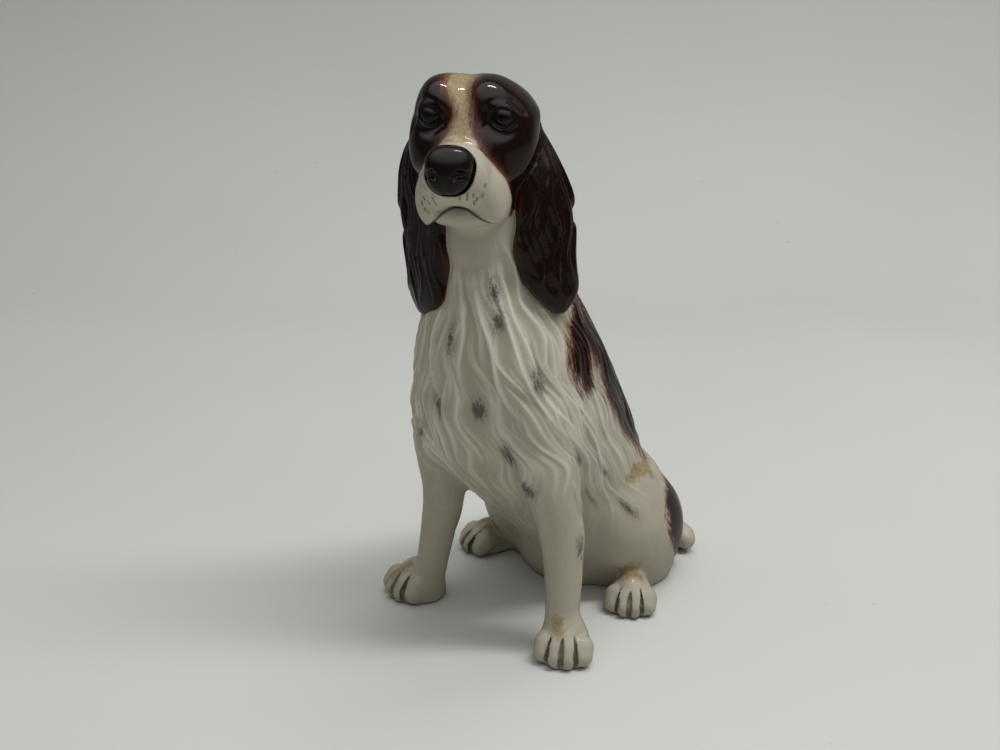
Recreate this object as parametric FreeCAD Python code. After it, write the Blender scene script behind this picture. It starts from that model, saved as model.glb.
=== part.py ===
"""Seated spaniel figure in glazed earthenware, about 230 mm tall.

It is put together the way a pottery does it: a hollow torso and a hollow head are slip-cast and
meet at a flat seam round the neck, and the ears, the forelegs, the hind paws and the tail are
cast by themselves and stuck on before the firing. Each casting is its own solid.
Millimetres. The dog faces -Y, its left side is +X and +Z is up. The origin lies on the torso's
flat foot, which stands on the table together with the four paws.
"""
import FreeCAD
import Part
import math
import os

Vector = FreeCAD.Vector

# Castings
WALL = 3.8
VENT_DIAMETER = 3.6
OVERRUN = 2.0

# Torso, from the flat foot up to the seam round the neck
TORSO_HEIGHT = 166.0
TORSO_WIDTH = 76.0
TORSO_DEPTH = 97.0
HAUNCH_WIDTH = 37.0
HAUNCH_LENGTH = 58.0
HAUNCH_HEIGHT = 62.0

# Head, in its own frame before it is turned
HEAD_LENGTH = 69.0
HEAD_WIDTH = 47.0
HEAD_HEIGHT = 49.0
HEAD_TURN = 28.0
NECK_RISE = 43.0
NOSE_WIDTH = 17.0
NOSE_HEIGHT = 15.0
NOSE_DEPTH = 11.0
EYE_DIAMETER = 8.6

# Ears
LEFT_EAR_LENGTH = 80.0
RIGHT_EAR_LENGTH = 84.0
EAR_WIDTH = 30.0
EAR_THICKNESS = 9.0
EAR_LOCKS = 5

# Forelegs
LEG_THICKNESS = 14.0
SHOULDER_HEIGHT = 118.0
FORE_STANCE = 83.0

# Paws
FORE_PAW_LENGTH = 31.0
FORE_PAW_WIDTH = 23.0
FORE_PAW_HEIGHT = 16.5
LEFT_FORE_SPLAY = 26.0
RIGHT_FORE_SPLAY = 12.0
HIND_PAW_LENGTH = 33.0
HIND_PAW_WIDTH = 20.0
HIND_PAW_HEIGHT = 15.0
HIND_PAW_SPLAY = 27.0
TOE_COUNT = 4

# Tail
TAIL_LENGTH = 52.0
TAIL_THICKNESS = 14.0
TAIL_CURL = 120.0

# Section tables, as shares of the sizes above
# Torso: height, front, back, width, place of the widest line between front and back
TORSO_SHARES = [
    (0.00, -0.23, 0.28, 0.70, 0.60),
    (0.12, -0.33, 0.31, 0.86, 0.58),
    (0.24, -0.50, 0.30, 0.92, 0.55),
    (0.36, -0.70, 0.24, 0.94, 0.50),
    (0.48, -0.85, 0.14, 0.96, 0.46),
    (0.60, -0.94, 0.02, 0.96, 0.44),
    (0.72, -0.96, -0.11, 0.91, 0.44),
    (0.84, -0.93, -0.25, 0.75, 0.46),
    (0.92, -0.89, -0.34, 0.62, 0.50),
    (1.00, -0.87, -0.43, 0.54, 0.50),
]
VENT_BACK_SHARE = 0.10
HEAD_SIDE_SHARE = -0.04
HEAD_AHEAD_SHARE = 0.125

# Haunch: height, outward, back, width, length
HAUNCH_SHARES = [
    (0.00, 0.36, 0.09, 0.78, 0.66),
    (0.15, 0.37, 0.08, 0.92, 0.84),
    (0.38, 0.38, 0.04, 1.00, 1.00),
    (0.60, 0.37, 0.00, 0.96, 0.98),
    (0.80, 0.34, -0.02, 0.78, 0.80),
    (0.93, 0.30, -0.02, 0.50, 0.52),
    (1.00, 0.27, -0.01, 0.14, 0.14),
]

# Head: place along the face, lowest, highest, width, squareness, flare of the lower half
HEAD_SHARES = [
    (-0.40, -0.06, 0.10, 0.10, 2.0, 0.00),
    (-0.385, -0.20, 0.22, 0.36, 2.0, 0.00),
    (-0.33, -0.33, 0.32, 0.62, 2.0, 0.00),
    (-0.22, -0.42, 0.40, 0.86, 2.1, 0.00),
    (-0.08, -0.46, 0.43, 0.99, 2.2, 0.00),
    (0.06, -0.48, 0.42, 1.00, 2.2, -0.02),
    (0.19, -0.52, 0.36, 0.87, 2.2, 0.06),
    (0.28, -0.54, 0.20, 0.72, 2.3, 0.14),
    (0.38, -0.54, 0.05, 0.64, 2.5, 0.18),
    (0.48, -0.53, -0.01, 0.61, 2.6, 0.18),
    (0.56, -0.51, -0.04, 0.55, 2.5, 0.15),
    (0.600, -0.44, -0.09, 0.44, 2.2, 0.10),
    (0.615, -0.34, -0.18, 0.22, 2.0, 0.00),
]
NOSE_PLACE_SHARES = (0.585, -0.15)
EYE_PLACE_SHARES = (0.225, 0.282, 0.14)
CHIN_PLACE_SHARES = (0.42, -0.49)
CHIN_SIZE_SHARES = (0.26, 0.46, 0.14)
NOSTRIL_PLACE_SHARES = (0.42, 0.28, -0.05)
NOSTRIL_SIZE_SHARES = (0.30, 0.20, 0.26)

# Upper neck: rise, then front, back, width and widest place as for the torso
NECK_SHARES = [
    (0.30, -0.85, -0.49, 0.51, 0.50),
    (0.65, -0.84, -0.54, 0.48, 0.50),
    (1.00, -0.82, -0.57, 0.42, 0.50),
]

# Ear: drop, spread from the root to the tip, width, thickness, turn of the broad side in degrees
EAR_SHARES = [
    (0.00, 0.00, 0.20, 0.30, 20.0),
    (0.05, 0.10, 0.50, 0.62, 22.0),
    (0.16, 0.36, 0.72, 0.85, 26.0),
    (0.32, 0.68, 0.84, 0.95, 33.0),
    (0.50, 0.86, 0.92, 1.00, 38.0),
    (0.68, 0.96, 1.00, 1.00, 41.0),
    (0.84, 1.00, 0.96, 0.95, 43.0),
    (0.94, 1.00, 0.74, 0.80, 44.0),
    (0.99, 1.00, 0.36, 0.50, 44.0),
]
# Ear root and tips: outward and forward of the skull's middle
EAR_ROOT_SHARES = (0.32, -0.12)
LEFT_EAR_TIP_SHARES = (0.64, 0.06)
RIGHT_EAR_TIP_SHARES = (0.47, 0.04)
EAR_TOP_SHARE = 0.24
LOCK_DEPTH_SHARE = 0.10

# Foreleg: height, outward on the left, outward on the right, back, width, depth
LEG_SHARES = [
    (0.03, 0.93, 0.83, -0.705, 0.94, 1.04),
    (0.13, 0.91, 0.80, -0.690, 0.90, 1.02),
    (0.29, 0.87, 0.75, -0.660, 0.97, 1.16),
    (0.45, 0.80, 0.68, -0.650, 1.12, 1.40),
    (0.60, 0.72, 0.64, -0.670, 1.36, 1.80),
    (0.75, 0.67, 0.61, -0.690, 1.50, 2.10),
    (0.90, 0.62, 0.57, -0.680, 1.40, 2.00),
    (1.00, 0.54, 0.50, -0.660, 0.80, 1.10),
]
FORE_PAW_BACK_SHARE = -0.715
HIND_PAW_BACK_SHARE = -0.17
HIND_STANCE_SHARE = 1.12

# Paw: a low dome with the toes in a fan at its front
PAW_DOME_SHARES = (0.92, 0.80, 0.98)
TOE_SIZE_SHARES = (0.36, 0.50, 1.12)
TOE_SPREAD_SHARE = 0.33
TOE_LEVEL_SHARE = 0.16
TOE_REACH_SHARE = 0.30
OUTER_TOE_BACK_SHARE = 0.10
TOE_FAN = 11.0

# Tail: along, rise, thickness; its root is placed in torso widths and haunch lengths
TAIL_SHARES = [
    (0.00, 0.62, 1.20),
    (0.25, 0.56, 1.10),
    (0.50, 0.50, 1.00),
    (0.74, 0.45, 0.88),
    (0.92, 0.40, 0.60),
    (1.00, 0.38, 0.26),
]
TAIL_ROOT_SHARES = (0.06, 0.30)

SECTION_POINTS = 16

# Squareness of the sections: 2 is an ellipse, more is squarer
BODY_POWER = 2.2
HAUNCH_POWER = 2.1
EAR_POWER = 2.3
ROUND_POWER = 2.0


def superellipse(power):
    """Points of a unit superellipse, anticlockwise from +X."""
    points = []
    for step in range(SECTION_POINTS):
        angle = 2 * math.pi * step / SECTION_POINTS
        across = math.cos(angle)
        along = math.sin(angle)
        points.append((
            math.copysign(abs(across) ** (2 / power), across),
            math.copysign(abs(along) ** (2 / power), along),
        ))
    return points


def ring(points):
    """Smooth closed wire through the points, evenly timed so that rings loft point to point."""
    curve = Part.BSplineCurve()
    times = [step / len(points) for step in range(len(points) + 1)]
    curve.interpolate(Points=points, PeriodicFlag=True, Parameters=times)
    return Part.Wire([curve.toShape()])


def loft(rings):
    """Smooth closed solid through the rings, with flat ends."""
    return Part.makeLoft(rings, True, False)


def ellipsoid(centre, size):
    """Ellipsoid with its axes along X, Y and Z."""
    matrix = FreeCAD.Matrix()
    matrix.scale(size[0] / 2, size[1] / 2, size[2] / 2)
    matrix.move(Vector(*centre))
    return Part.makeSphere(1).transformGeometry(matrix)


def level_ring(height, front, back, width, widest, inset):
    """Horizontal section of the torso or the neck, drawn in by the inset."""
    middle = front + (back - front) * widest
    points = []
    for across, along in superellipse(BODY_POWER):
        reach = back - middle if along > 0 else middle - front
        points.append(Vector(
            across * (width / 2 - inset),
            middle + along * (reach - inset),
            height,
        ))
    return ring(points)


def torso_ring(row, inset):
    rise, front, back, width, widest = row
    return level_ring(rise * TORSO_HEIGHT, front * TORSO_DEPTH, back * TORSO_DEPTH,
                      width * TORSO_WIDTH, widest, inset)


def below(level, reach):
    """Block that takes away what lies under a level."""
    return Part.makeBox(2 * reach, 2 * reach, reach, Vector(-reach, -reach, level - reach))


def haunch(inset):
    """The folded left thigh, drawn in by the inset."""
    rings = []
    for rise, outward, back, width, length in HAUNCH_SHARES:
        half_width = max(width * HAUNCH_WIDTH / 2 - inset, width * WALL)
        half_length = max(length * HAUNCH_LENGTH / 2 - inset, length * WALL)
        level = rise * (HAUNCH_HEIGHT - inset)
        points = []
        for across, along in superellipse(HAUNCH_POWER):
            points.append(Vector(
                outward * TORSO_WIDTH + across * half_width,
                back * TORSO_DEPTH + along * half_length,
                level))
        rings.append(ring(points))
    return loft(rings)


def mirrored(shape):
    return shape.mirror(Vector(0, 0, 0), Vector(1, 0, 0))


def torso_form(inset):
    """The torso's body and both haunches as one solid, drawn in by the inset."""
    body = loft([torso_ring(row, inset) for row in TORSO_SHARES])
    thigh = haunch(inset)
    return body.fuse(thigh).fuse(mirrored(thigh))


def torso_casting(outer):
    """Hollow torso with a flat foot, a small vent hole and an open neck."""
    hollow = torso_form(WALL)
    hollow = hollow.cut(below(WALL, TORSO_DEPTH))
    top = torso_ring(TORSO_SHARES[-1], WALL)
    mouth = Part.Face(top).extrude(Vector(0, 0, OVERRUN))
    vent = Part.makeCylinder(VENT_DIAMETER / 2, WALL + 2 * OVERRUN,
                             Vector(0, VENT_BACK_SHARE * TORSO_DEPTH, -OVERRUN))
    return outer.cut(hollow.fuse(mouth)).cut(vent)


def head_place():
    """The skull's middle, over the top of the neck."""
    front, back = TORSO_SHARES[-1][1:3]
    middle = (front + back) / 2 * TORSO_DEPTH
    return Vector(HEAD_SIDE_SHARE * TORSO_WIDTH,
                  middle - HEAD_AHEAD_SHARE * HEAD_LENGTH,
                  TORSO_HEIGHT + NECK_RISE)


def turned(shape):
    """From the head's own frame, face along -Y, to its place on the neck."""
    result = shape.copy()
    result.rotate(Vector(0, 0, 0), Vector(0, 0, 1), HEAD_TURN)
    result.translate(head_place())
    return result


def head_ring(row, inset):
    place, low, high, width, power, flare = row
    middle = (low + high) / 2 * HEAD_HEIGHT
    half_height = (high - low) / 2 * HEAD_HEIGHT - inset
    half_width = width / 2 * HEAD_WIDTH - inset
    points = []
    for across, along in superellipse(power):
        points.append(Vector(
            across * half_width * (1 - flare * along),
            -place * HEAD_LENGTH,
            middle + along * half_height))
    return ring(points)


def neck_form(inset):
    """Upper neck, from the seam up into the skull."""
    rings = [torso_ring(TORSO_SHARES[-1], inset)]
    for rise, front, back, width, widest in NECK_SHARES:
        rings.append(level_ring(TORSO_HEIGHT + rise * NECK_RISE, front * TORSO_DEPTH,
                                back * TORSO_DEPTH, width * TORSO_WIDTH, widest, inset))
    return loft(rings)


def head_form():
    """Skull, muzzle, chin, nose pad and eyes, in place on the upper neck."""
    head = loft([head_ring(row, 0) for row in HEAD_SHARES])
    chin_place, chin_level = CHIN_PLACE_SHARES
    chin_length, chin_width, chin_height = CHIN_SIZE_SHARES
    head = head.fuse(ellipsoid(
        (0, -chin_place * HEAD_LENGTH, chin_level * HEAD_HEIGHT),
        (chin_width * HEAD_WIDTH, chin_length * HEAD_LENGTH, chin_height * HEAD_HEIGHT)))
    nose_y = -NOSE_PLACE_SHARES[0] * HEAD_LENGTH
    nose_z = NOSE_PLACE_SHARES[1] * HEAD_HEIGHT
    head = head.fuse(ellipsoid((0, nose_y, nose_z), (NOSE_WIDTH, NOSE_DEPTH, NOSE_HEIGHT)))
    side_share, level_share = NOSTRIL_PLACE_SHARES[1:]
    for side in (-1, 1):
        head = head.cut(ellipsoid(
            (side * side_share * NOSE_WIDTH, nose_y - NOSTRIL_PLACE_SHARES[0] * NOSE_DEPTH,
             nose_z + level_share * NOSE_HEIGHT),
            (NOSTRIL_SIZE_SHARES[0] * NOSE_WIDTH, NOSTRIL_SIZE_SHARES[1] * NOSE_DEPTH,
             NOSTRIL_SIZE_SHARES[2] * NOSE_HEIGHT)))
        place, spread, level = EYE_PLACE_SHARES
        head = head.fuse(ellipsoid(
            (side * spread * HEAD_WIDTH, -place * HEAD_LENGTH, level * HEAD_HEIGHT),
            (EYE_DIAMETER, EYE_DIAMETER, EYE_DIAMETER)))
    return turned(head).fuse(neck_form(0))


def head_casting(outer):
    """Hollow head, open where it meets the torso."""
    rows = HEAD_SHARES[2:-3]
    hollow = turned(loft([head_ring(row, WALL) for row in rows]))
    hollow = hollow.fuse(neck_form(WALL))
    top = torso_ring(TORSO_SHARES[-1], WALL)
    mouth = Part.Face(top).extrude(Vector(0, 0, -OVERRUN))
    return outer.cut(hollow.fuse(mouth))


def ear(side, length, tip_shares):
    """Long ear that hangs from the skull, with wavy locks down its outer face."""
    rings = []
    root_out, root_ahead = EAR_ROOT_SHARES
    tip_out, tip_ahead = tip_shares
    for drop, spread, width, thickness, turn in EAR_SHARES:
        half_width = width * EAR_WIDTH / 2
        half_thickness = thickness * EAR_THICKNESS / 2
        angle = math.radians(turn)
        outward = (root_out + (tip_out - root_out) * spread) * HEAD_WIDTH
        ahead = (root_ahead + (tip_ahead - root_ahead) * spread) * HEAD_LENGTH
        level = EAR_TOP_SHARE * HEAD_HEIGHT - drop * length
        points = []
        for across, along in superellipse(EAR_POWER):
            lock = 1 + LOCK_DEPTH_SHARE * math.cos(math.pi * EAR_LOCKS * across) * (along > 0)
            broad = across * half_width
            thick = along * half_thickness * lock
            points.append(Vector(
                side * (outward + thick * math.cos(angle) + broad * math.sin(angle)),
                broad * math.cos(angle) - thick * math.sin(angle) - ahead,
                level))
        rings.append(ring(points))
    return turned(loft(rings))


def foreleg(side, splay):
    """Leg from the shoulder down to the wrist, with its paw."""
    rings = []
    for rise, left_out, right_out, back, width, depth in LEG_SHARES:
        outward = left_out if side > 0 else right_out
        half_width = width * LEG_THICKNESS / 2
        half_depth = depth * LEG_THICKNESS / 2
        points = []
        for across, along in superellipse(ROUND_POWER):
            points.append(Vector(
                side * (outward * FORE_STANCE / 2) + across * half_width,
                back * TORSO_DEPTH + along * half_depth,
                rise * SHOULDER_HEIGHT))
        rings.append(ring(points))
    leg = loft(rings)
    centre = (side * FORE_STANCE / 2, FORE_PAW_BACK_SHARE * TORSO_DEPTH)
    size = (FORE_PAW_WIDTH, FORE_PAW_LENGTH, FORE_PAW_HEIGHT)
    return leg.fuse(paw(centre, size, side * splay)).cut(below(0, TORSO_DEPTH))


def paw(centre, size, splay):
    """Low dome with a fan of toes, flat underneath."""
    width, length, height = size
    dome_width, dome_length, dome_height = PAW_DOME_SHARES
    toe_width, toe_length, toe_height = TOE_SIZE_SHARES
    shape = ellipsoid((0, 0, 0), (dome_width * width, dome_length * length,
                                  2 * dome_height * height))
    middle = (TOE_COUNT - 1) / 2
    for number in range(TOE_COUNT):
        fan = (number - middle) / middle
        reach = (TOE_REACH_SHARE - abs(fan) * OUTER_TOE_BACK_SHARE) * length
        toe = ellipsoid((0, 0, TOE_LEVEL_SHARE * height),
                        (toe_width * width, toe_length * length, toe_height * height))
        toe.rotate(Vector(0, 0, 0), Vector(0, 0, 1), fan * TOE_FAN)
        toe.translate(Vector(fan * TOE_SPREAD_SHARE * width, -reach, 0))
        shape = shape.fuse(toe)
    shape.rotate(Vector(0, 0, 0), Vector(0, 0, 1), splay)
    shape.translate(Vector(centre[0], centre[1], 0))
    return shape


def hind_paw(side):
    centre = (side * HIND_STANCE_SHARE * TORSO_WIDTH / 2, HIND_PAW_BACK_SHARE * TORSO_DEPTH)
    size = (HIND_PAW_WIDTH, HIND_PAW_LENGTH, HIND_PAW_HEIGHT)
    return paw(centre, size, side * HIND_PAW_SPLAY).cut(below(0, TORSO_DEPTH))


def tail():
    """Short docked tail that lies on the table and curls round to the left."""
    rings = []
    curl = math.radians(TAIL_CURL)
    radius = TAIL_LENGTH / curl
    root_side, root_back = TAIL_ROOT_SHARES
    for along, rise, thickness in TAIL_SHARES:
        turn = along * curl
        centre = Vector(root_side * TORSO_WIDTH + radius * (1 - math.cos(turn)),
                        root_back * HAUNCH_LENGTH + radius * math.sin(turn),
                        rise * TAIL_THICKNESS)
        half = thickness * TAIL_THICKNESS / 2
        points = []
        for across, up in superellipse(ROUND_POWER):
            points.append(centre + Vector(across * half * math.cos(turn),
                                          -across * half * math.sin(turn),
                                          up * half))
        rings.append(ring(points))
    return loft(rings).cut(below(0, TORSO_DEPTH))


def main():
    os.makedirs("parts", exist_ok=True)
    torso = torso_form(0)
    head = head_form()
    left_ear = ear(1, LEFT_EAR_LENGTH, LEFT_EAR_TIP_SHARES).cut(head).cut(torso)
    right_ear = ear(-1, RIGHT_EAR_LENGTH, RIGHT_EAR_TIP_SHARES).cut(head).cut(torso)
    pieces = {
        "torso_casting": torso_casting(torso),
        "head_casting": head_casting(head),
        "left_ear": left_ear,
        "right_ear": right_ear,
        "left_foreleg": foreleg(1, LEFT_FORE_SPLAY).cut(torso),
        "right_foreleg": foreleg(-1, RIGHT_FORE_SPLAY).cut(torso),
        "left_hind_paw": hind_paw(1).cut(torso),
        "right_hind_paw": hind_paw(-1).cut(torso),
        "tail": tail().cut(torso),
    }
    for name, shape in pieces.items():
        shape.exportStep(f"parts/{name}.step")
        print(name, [round(solid.Volume) for solid in shape.Solids], shape.isValid())


main()
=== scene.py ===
"""Seated spaniel figure in glazed earthenware, for Blender.

The figure is worked out as one smooth field, the way a modeller builds it up in clay: forms are
blended into each other, then lids, lips, toes and locks of fur are cut and raised in it. The
field's surface becomes one mesh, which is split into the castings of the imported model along
shared edges, so no seam shows. Each casting gets a painted and glazed material whose patches,
spots and brushed edges follow coordinates that run with the fur.
Millimetres inside the sculpting code, metres for Blender. The dog faces -Y and its left is +X.
"""
import itertools
import math

import bpy
import numpy as np
from mathutils import Euler, Matrix, Vector


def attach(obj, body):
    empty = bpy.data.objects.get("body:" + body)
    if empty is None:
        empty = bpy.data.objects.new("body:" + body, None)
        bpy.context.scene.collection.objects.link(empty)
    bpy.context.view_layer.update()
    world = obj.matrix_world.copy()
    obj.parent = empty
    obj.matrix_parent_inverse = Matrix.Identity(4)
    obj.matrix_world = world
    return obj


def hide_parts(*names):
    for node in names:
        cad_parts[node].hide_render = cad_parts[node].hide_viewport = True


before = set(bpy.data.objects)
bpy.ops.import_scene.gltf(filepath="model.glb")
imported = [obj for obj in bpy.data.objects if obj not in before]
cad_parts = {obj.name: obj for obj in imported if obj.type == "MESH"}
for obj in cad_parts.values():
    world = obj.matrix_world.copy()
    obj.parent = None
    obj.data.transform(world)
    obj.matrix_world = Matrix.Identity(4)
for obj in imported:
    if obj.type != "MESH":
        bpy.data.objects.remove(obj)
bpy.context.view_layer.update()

MM = 0.001

# Camera, as worked out from the photograph
CAMERA_PLACE = (271.9, -407.9, 267.0)
CAMERA_PITCH = 19.5
CAMERA_TURN = 38.0
CAMERA_LENS = 41.4
SENSOR_WIDTH = 36.0

# Mesh grid
PITCH = 0.62
COARSE_STEP = 4
GRID_LOW = (-62.0, -122.0, -3.0)
GRID_HIGH = (62.0, 52.0, 234.0)
# Height at which the torso's mesh is split in two
TORSO_CUT = 92.0
# Distance given to points that a form or a painted mark doesn't reach
FAR = 30.0
# Corners of a cell
CORNERS = list(itertools.product((0, 1), repeat=3))
# Strength of the world's light at the sides, overhead and as the camera sees it, and its tint
WORLD_LOW = 0.05
WORLD_HIGH = 0.82
WORLD_SEEN = 0.46
WORLD_TINT = (0.97, 1.0, 0.97)
# Lamps in metres: place, target, watts, size, and whether the glaze mirrors them
LAMPS = {
    "main_strip": ((0.46, 0.16, 1.17), (0, -0.02, 0.08), 7.4, (0.85, 0.16), False),
    "fill": ((0.50, -0.85, 0.34), (0.02, -0.04, 0.02), 0.25, (0.9, 0.5), False),
    "window": ((-0.04, 0.24, 1.30), (0, -0.05, 0.15), 1.8, (0.42, 0.05), True),
}
# Pale sheet in metres: where it starts in front and folds up behind, its bend, top and half width
SHEET_FRONT = (-1.6, -0.4)
SHEET_FOLD = 0.42
SHEET_BEND = 0.30
SHEET_TOP = 1.5
SHEET_HALF = 2.2
SHEET_TONES = ((0.60, 0.605, 0.58), (0.64, 0.645, 0.62))
SHEET_DUST = (0.30, 0.29, 0.27)
# Tone the sheet takes only in the glaze's mirror: a painted darker reflection
SHEET_PAINTED_REFLECTION = (0.08, 0.078, 0.072)

# Torso and neck: height, front, back, half width, widest place from front to back
TORSO = [
    (-4.0, -18.0, 25.0, 25.0, 0.60),
    (0.0, -22.3, 27.2, 26.6, 0.60),
    (20.0, -32.0, 30.1, 32.7, 0.58),
    (40.0, -48.5, 29.1, 35.0, 0.55),
    (60.0, -67.9, 23.3, 35.7, 0.50),
    (80.0, -82.5, 13.6, 36.5, 0.46),
    (100.0, -91.2, 1.9, 36.3, 0.44),
    (120.0, -93.1, -10.7, 34.3, 0.44),
    (139.5, -90.2, -24.3, 28.5, 0.46),
    (153.0, -86.3, -33.0, 23.6, 0.50),
    (166.0, -84.4, -41.7, 20.5, 0.50),
    (179.0, -82.5, -47.5, 19.2, 0.50),
    (194.0, -80.5, -52.4, 18.0, 0.50),
    (209.0, -78.5, -55.3, 15.0, 0.50),
    (222.0, -76.0, -60.0, 10.0, 0.50),
]
NECK_SEAM = 166.0
NECK_TOP = 214.0

# Folded thigh: height, outward, back, half width, half length
HAUNCH = [
    (-4.0, 27.0, 9.0, 13.5, 18.0),
    (0.0, 27.4, 8.7, 14.5, 19.2),
    (9.3, 28.1, 9.0, 17.2, 25.6),
    (23.6, 28.9, 5.4, 18.8, 30.4),
    (37.2, 28.1, 1.6, 18.1, 29.4),
    (49.6, 25.8, -1.9, 14.2, 23.0),
    (57.7, 22.8, -1.9, 9.0, 15.0),
    (62.0, 20.5, -1.0, 2.4, 4.0),
]

# Rear edge of the thigh over height, the widening of its step, and the step down to the rump
THIGH_EDGE = ((0, 8, 15, 28, 36, 43, 50, 58), (16, 14, 10, 2, -1, 5, 14, 22))
THIGH_SPREAD = ((38, 52), (0.0, 8.0))
THIGH_STEP = 1.6

# Foreleg: height, outward on the left, outward on the right, back, half width, half depth
FORELEG = [
    (-2.0, 38.6, 34.4, -68.4, 6.7, 7.4),
    (3.5, 38.6, 34.4, -68.4, 6.6, 7.3),
    (15.3, 37.8, 33.2, -66.9, 6.7, 7.4),
    (34.2, 36.1, 31.1, -64.0, 7.5, 8.5),
    (53.1, 33.2, 28.2, -63.0, 8.7, 10.3),
    (70.8, 29.9, 26.6, -65.0, 10.0, 12.8),
    (88.5, 27.8, 25.3, -66.9, 10.4, 14.6),
    (106.2, 25.7, 23.7, -66.0, 9.6, 13.8),
    (118.0, 22.4, 20.8, -64.0, 5.2, 7.4),
]

# Paws: outward, forward, splay, half width, half length, height
FORE_PAWS = {
    1: (41.5, 69.4, 26.0, 11.3, 15.2, 16.5),
    -1: (41.5, 69.4, 12.0, 11.3, 15.2, 16.5),
}
HIND_PAWS = {
    1: (42.0, 19.0, 27.0, 10.2, 15.6, 15.4),
    -1: (42.6, 15.0, 27.0, 10.0, 16.0, 15.0),
}

# Tail: points of its middle line and thickness
TAIL = [
    ((3.0, 20.0, 8.6), 8.3),
    ((6.5, 29.5, 8.0), 7.6),
    ((14.0, 38.0, 7.2), 7.0),
    ((24.5, 42.6, 6.8), 6.6),
    ((32.2, 42.0, 6.6), 6.0),
    ((36.0, 39.8, 6.4), 4.6),
]

# Head: its middle and its turn to the dog's left, then how its upper part leans over with height
HEAD_PLACE = (-2.24, -71.1, 209.0)
HEAD_TURN = 25.0
HEAD_LEAN = ((-10.0, 8.0, 20.0), (0.0, -0.8, 2.0))
WIDEST_SHARE = 0.61
# Skull and muzzle: place along the face, lowest, highest, half width, flare below
SKULL = [
    (-27.6, -3.0, 5.0, 2.4),
    (-26.6, -9.8, 10.8, 8.5),
    (-22.8, -16.2, 15.9, 14.6),
    (-15.2, -20.6, 19.6, 19.4),
    (-5.5, -22.5, 21.4, 22.4),
    (4.1, -22.6, 20.4, 23.6),
    (13.1, -22.6, 16.0, 21.4),
    (19.3, -21.6, 8.8, 16.4),
    (24.0, -20.0, 1.0, 11.6),
    (27.0, -17.0, -6.0, 6.0),
]
MUZZLE = [
    (4.0, -24.0, 6.0, 11.0, 0.10),
    (12.0, -30.0, 4.4, 13.0, 0.18),
    (20.0, -31.5, 2.8, 13.6, 0.20),
    (26.0, -29.0, 1.6, 13.4, 0.18),
    (30.0, -24.8, 0.8, 12.8, 0.16),
    (34.0, -21.4, -0.2, 11.8, 0.12),
    (37.5, -18.8, -1.4, 10.2, 0.08),
    (40.0, -16.6, -3.0, 8.0, 0.04),
    (41.6, -14.0, -6.0, 3.6, 0.00),
]
BROW = ((8.8, 5.8, 9.8), (10.4, 14.4, 11.8))
CHEEK = ((13.8, 9.0, -4.5), (8.0, 11.0, 11.6))
FLEW = ((10.0, 20.2, -20.4), (7.6, 11.2, 12.0))
CHIN = ((0.6, 20.8, -25.0), (15.0, 12.2, 6.2))
THROAT = ((2.6, 8.6, -36.0), (11.2, 9.6, 17.0))
SOCKET = ((13.4, 21.8, 7.4), (6.6, 4.6, 4.8))
# How softly each form runs into the head, and the lips' own blend over their height
HEAD_BLENDS = {
    "flew": 3.5, "mouth": 1.6, "brow": 4.0, "cheek": 6.0, "socket": 4.0, "lid": 3.2, "eye": 0.4,
    "throat": 6.0, "jaw": 0.4, "rim": 0.6, "nose": 0.3,
}
LIP_BLEND = ((-22.0, -12.0), (1.5, 5.0))
# Line between lips and jaw: height at its middle, fall to the corners, reach of the fall, tilt
MOUTH_HEIGHT = -21.4
MOUTH_FALL = 9.4
MOUTH_REACH = 16.5
MOUTH_TILT = 0.08
EYE = (13.4, 15.3, 7.9)
EYE_RADIUS = 4.3
EYE_TILT = -14.0
EYE_OPENING = (4.9, 4.3)
NOSE = (0.0, 39.6, -7.4)
NOSE_SIZE = (8.4, 6.2, 8.1)
NOSTRIL = ((3.4, 45.3, -9.4), (5.0, 44.3, -8.2), (6.8, 43.1, -8.6), (8.6, 40.9, -10.8))
NOSTRIL_RADII = (0.8, 1.5, 1.1, 0.5)
CLEFT = ((0, 46.6, -11.0), (0, 42.0, -17.0), 0.2, 0.45)

# Ears: drop, outward, forward, half width, half thickness, turn of the broad side
LEFT_EAR = [
    (0.0, 14.6, -8.3, 3.0, 1.4, 20.0),
    (4.0, 15.6, -7.0, 6.6, 2.8, 22.0),
    (12.8, 18.0, -4.2, 9.4, 3.8, 26.0),
    (25.6, 23.6, -0.6, 12.0, 4.3, 33.0),
    (40.0, 26.2, 1.8, 12.7, 4.5, 38.0),
    (54.4, 27.4, 3.4, 13.5, 4.5, 41.0),
    (66.0, 30.2, 4.1, 11.8, 4.3, 43.0),
    (74.0, 32.6, 4.1, 7.0, 3.4, 44.0),
    (78.4, 33.2, 4.1, 2.6, 1.8, 44.0),
]
RIGHT_EAR = [
    (0.0, 15.0, -8.3, 3.0, 1.4, 20.0),
    (4.2, 17.0, -7.2, 7.5, 2.8, 24.0),
    (13.4, 20.2, -4.3, 11.4, 3.8, 32.0),
    (26.9, 22.2, -0.8, 14.0, 4.3, 41.0),
    (42.0, 20.4, 1.2, 15.4, 4.5, 46.0),
    (57.1, 18.9, 2.3, 14.8, 4.5, 46.0),
    (69.0, 18.8, 2.8, 14.2, 4.3, 45.0),
    (77.5, 19.0, 2.8, 13.2, 3.6, 44.0),
    (83.2, 18.6, 2.8, 10.0, 2.4, 44.0),
]
EAR_TOP = 11.8
EAR_WAVE = 0.045
EAR_WAVE_LENGTH = 17.0


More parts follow.
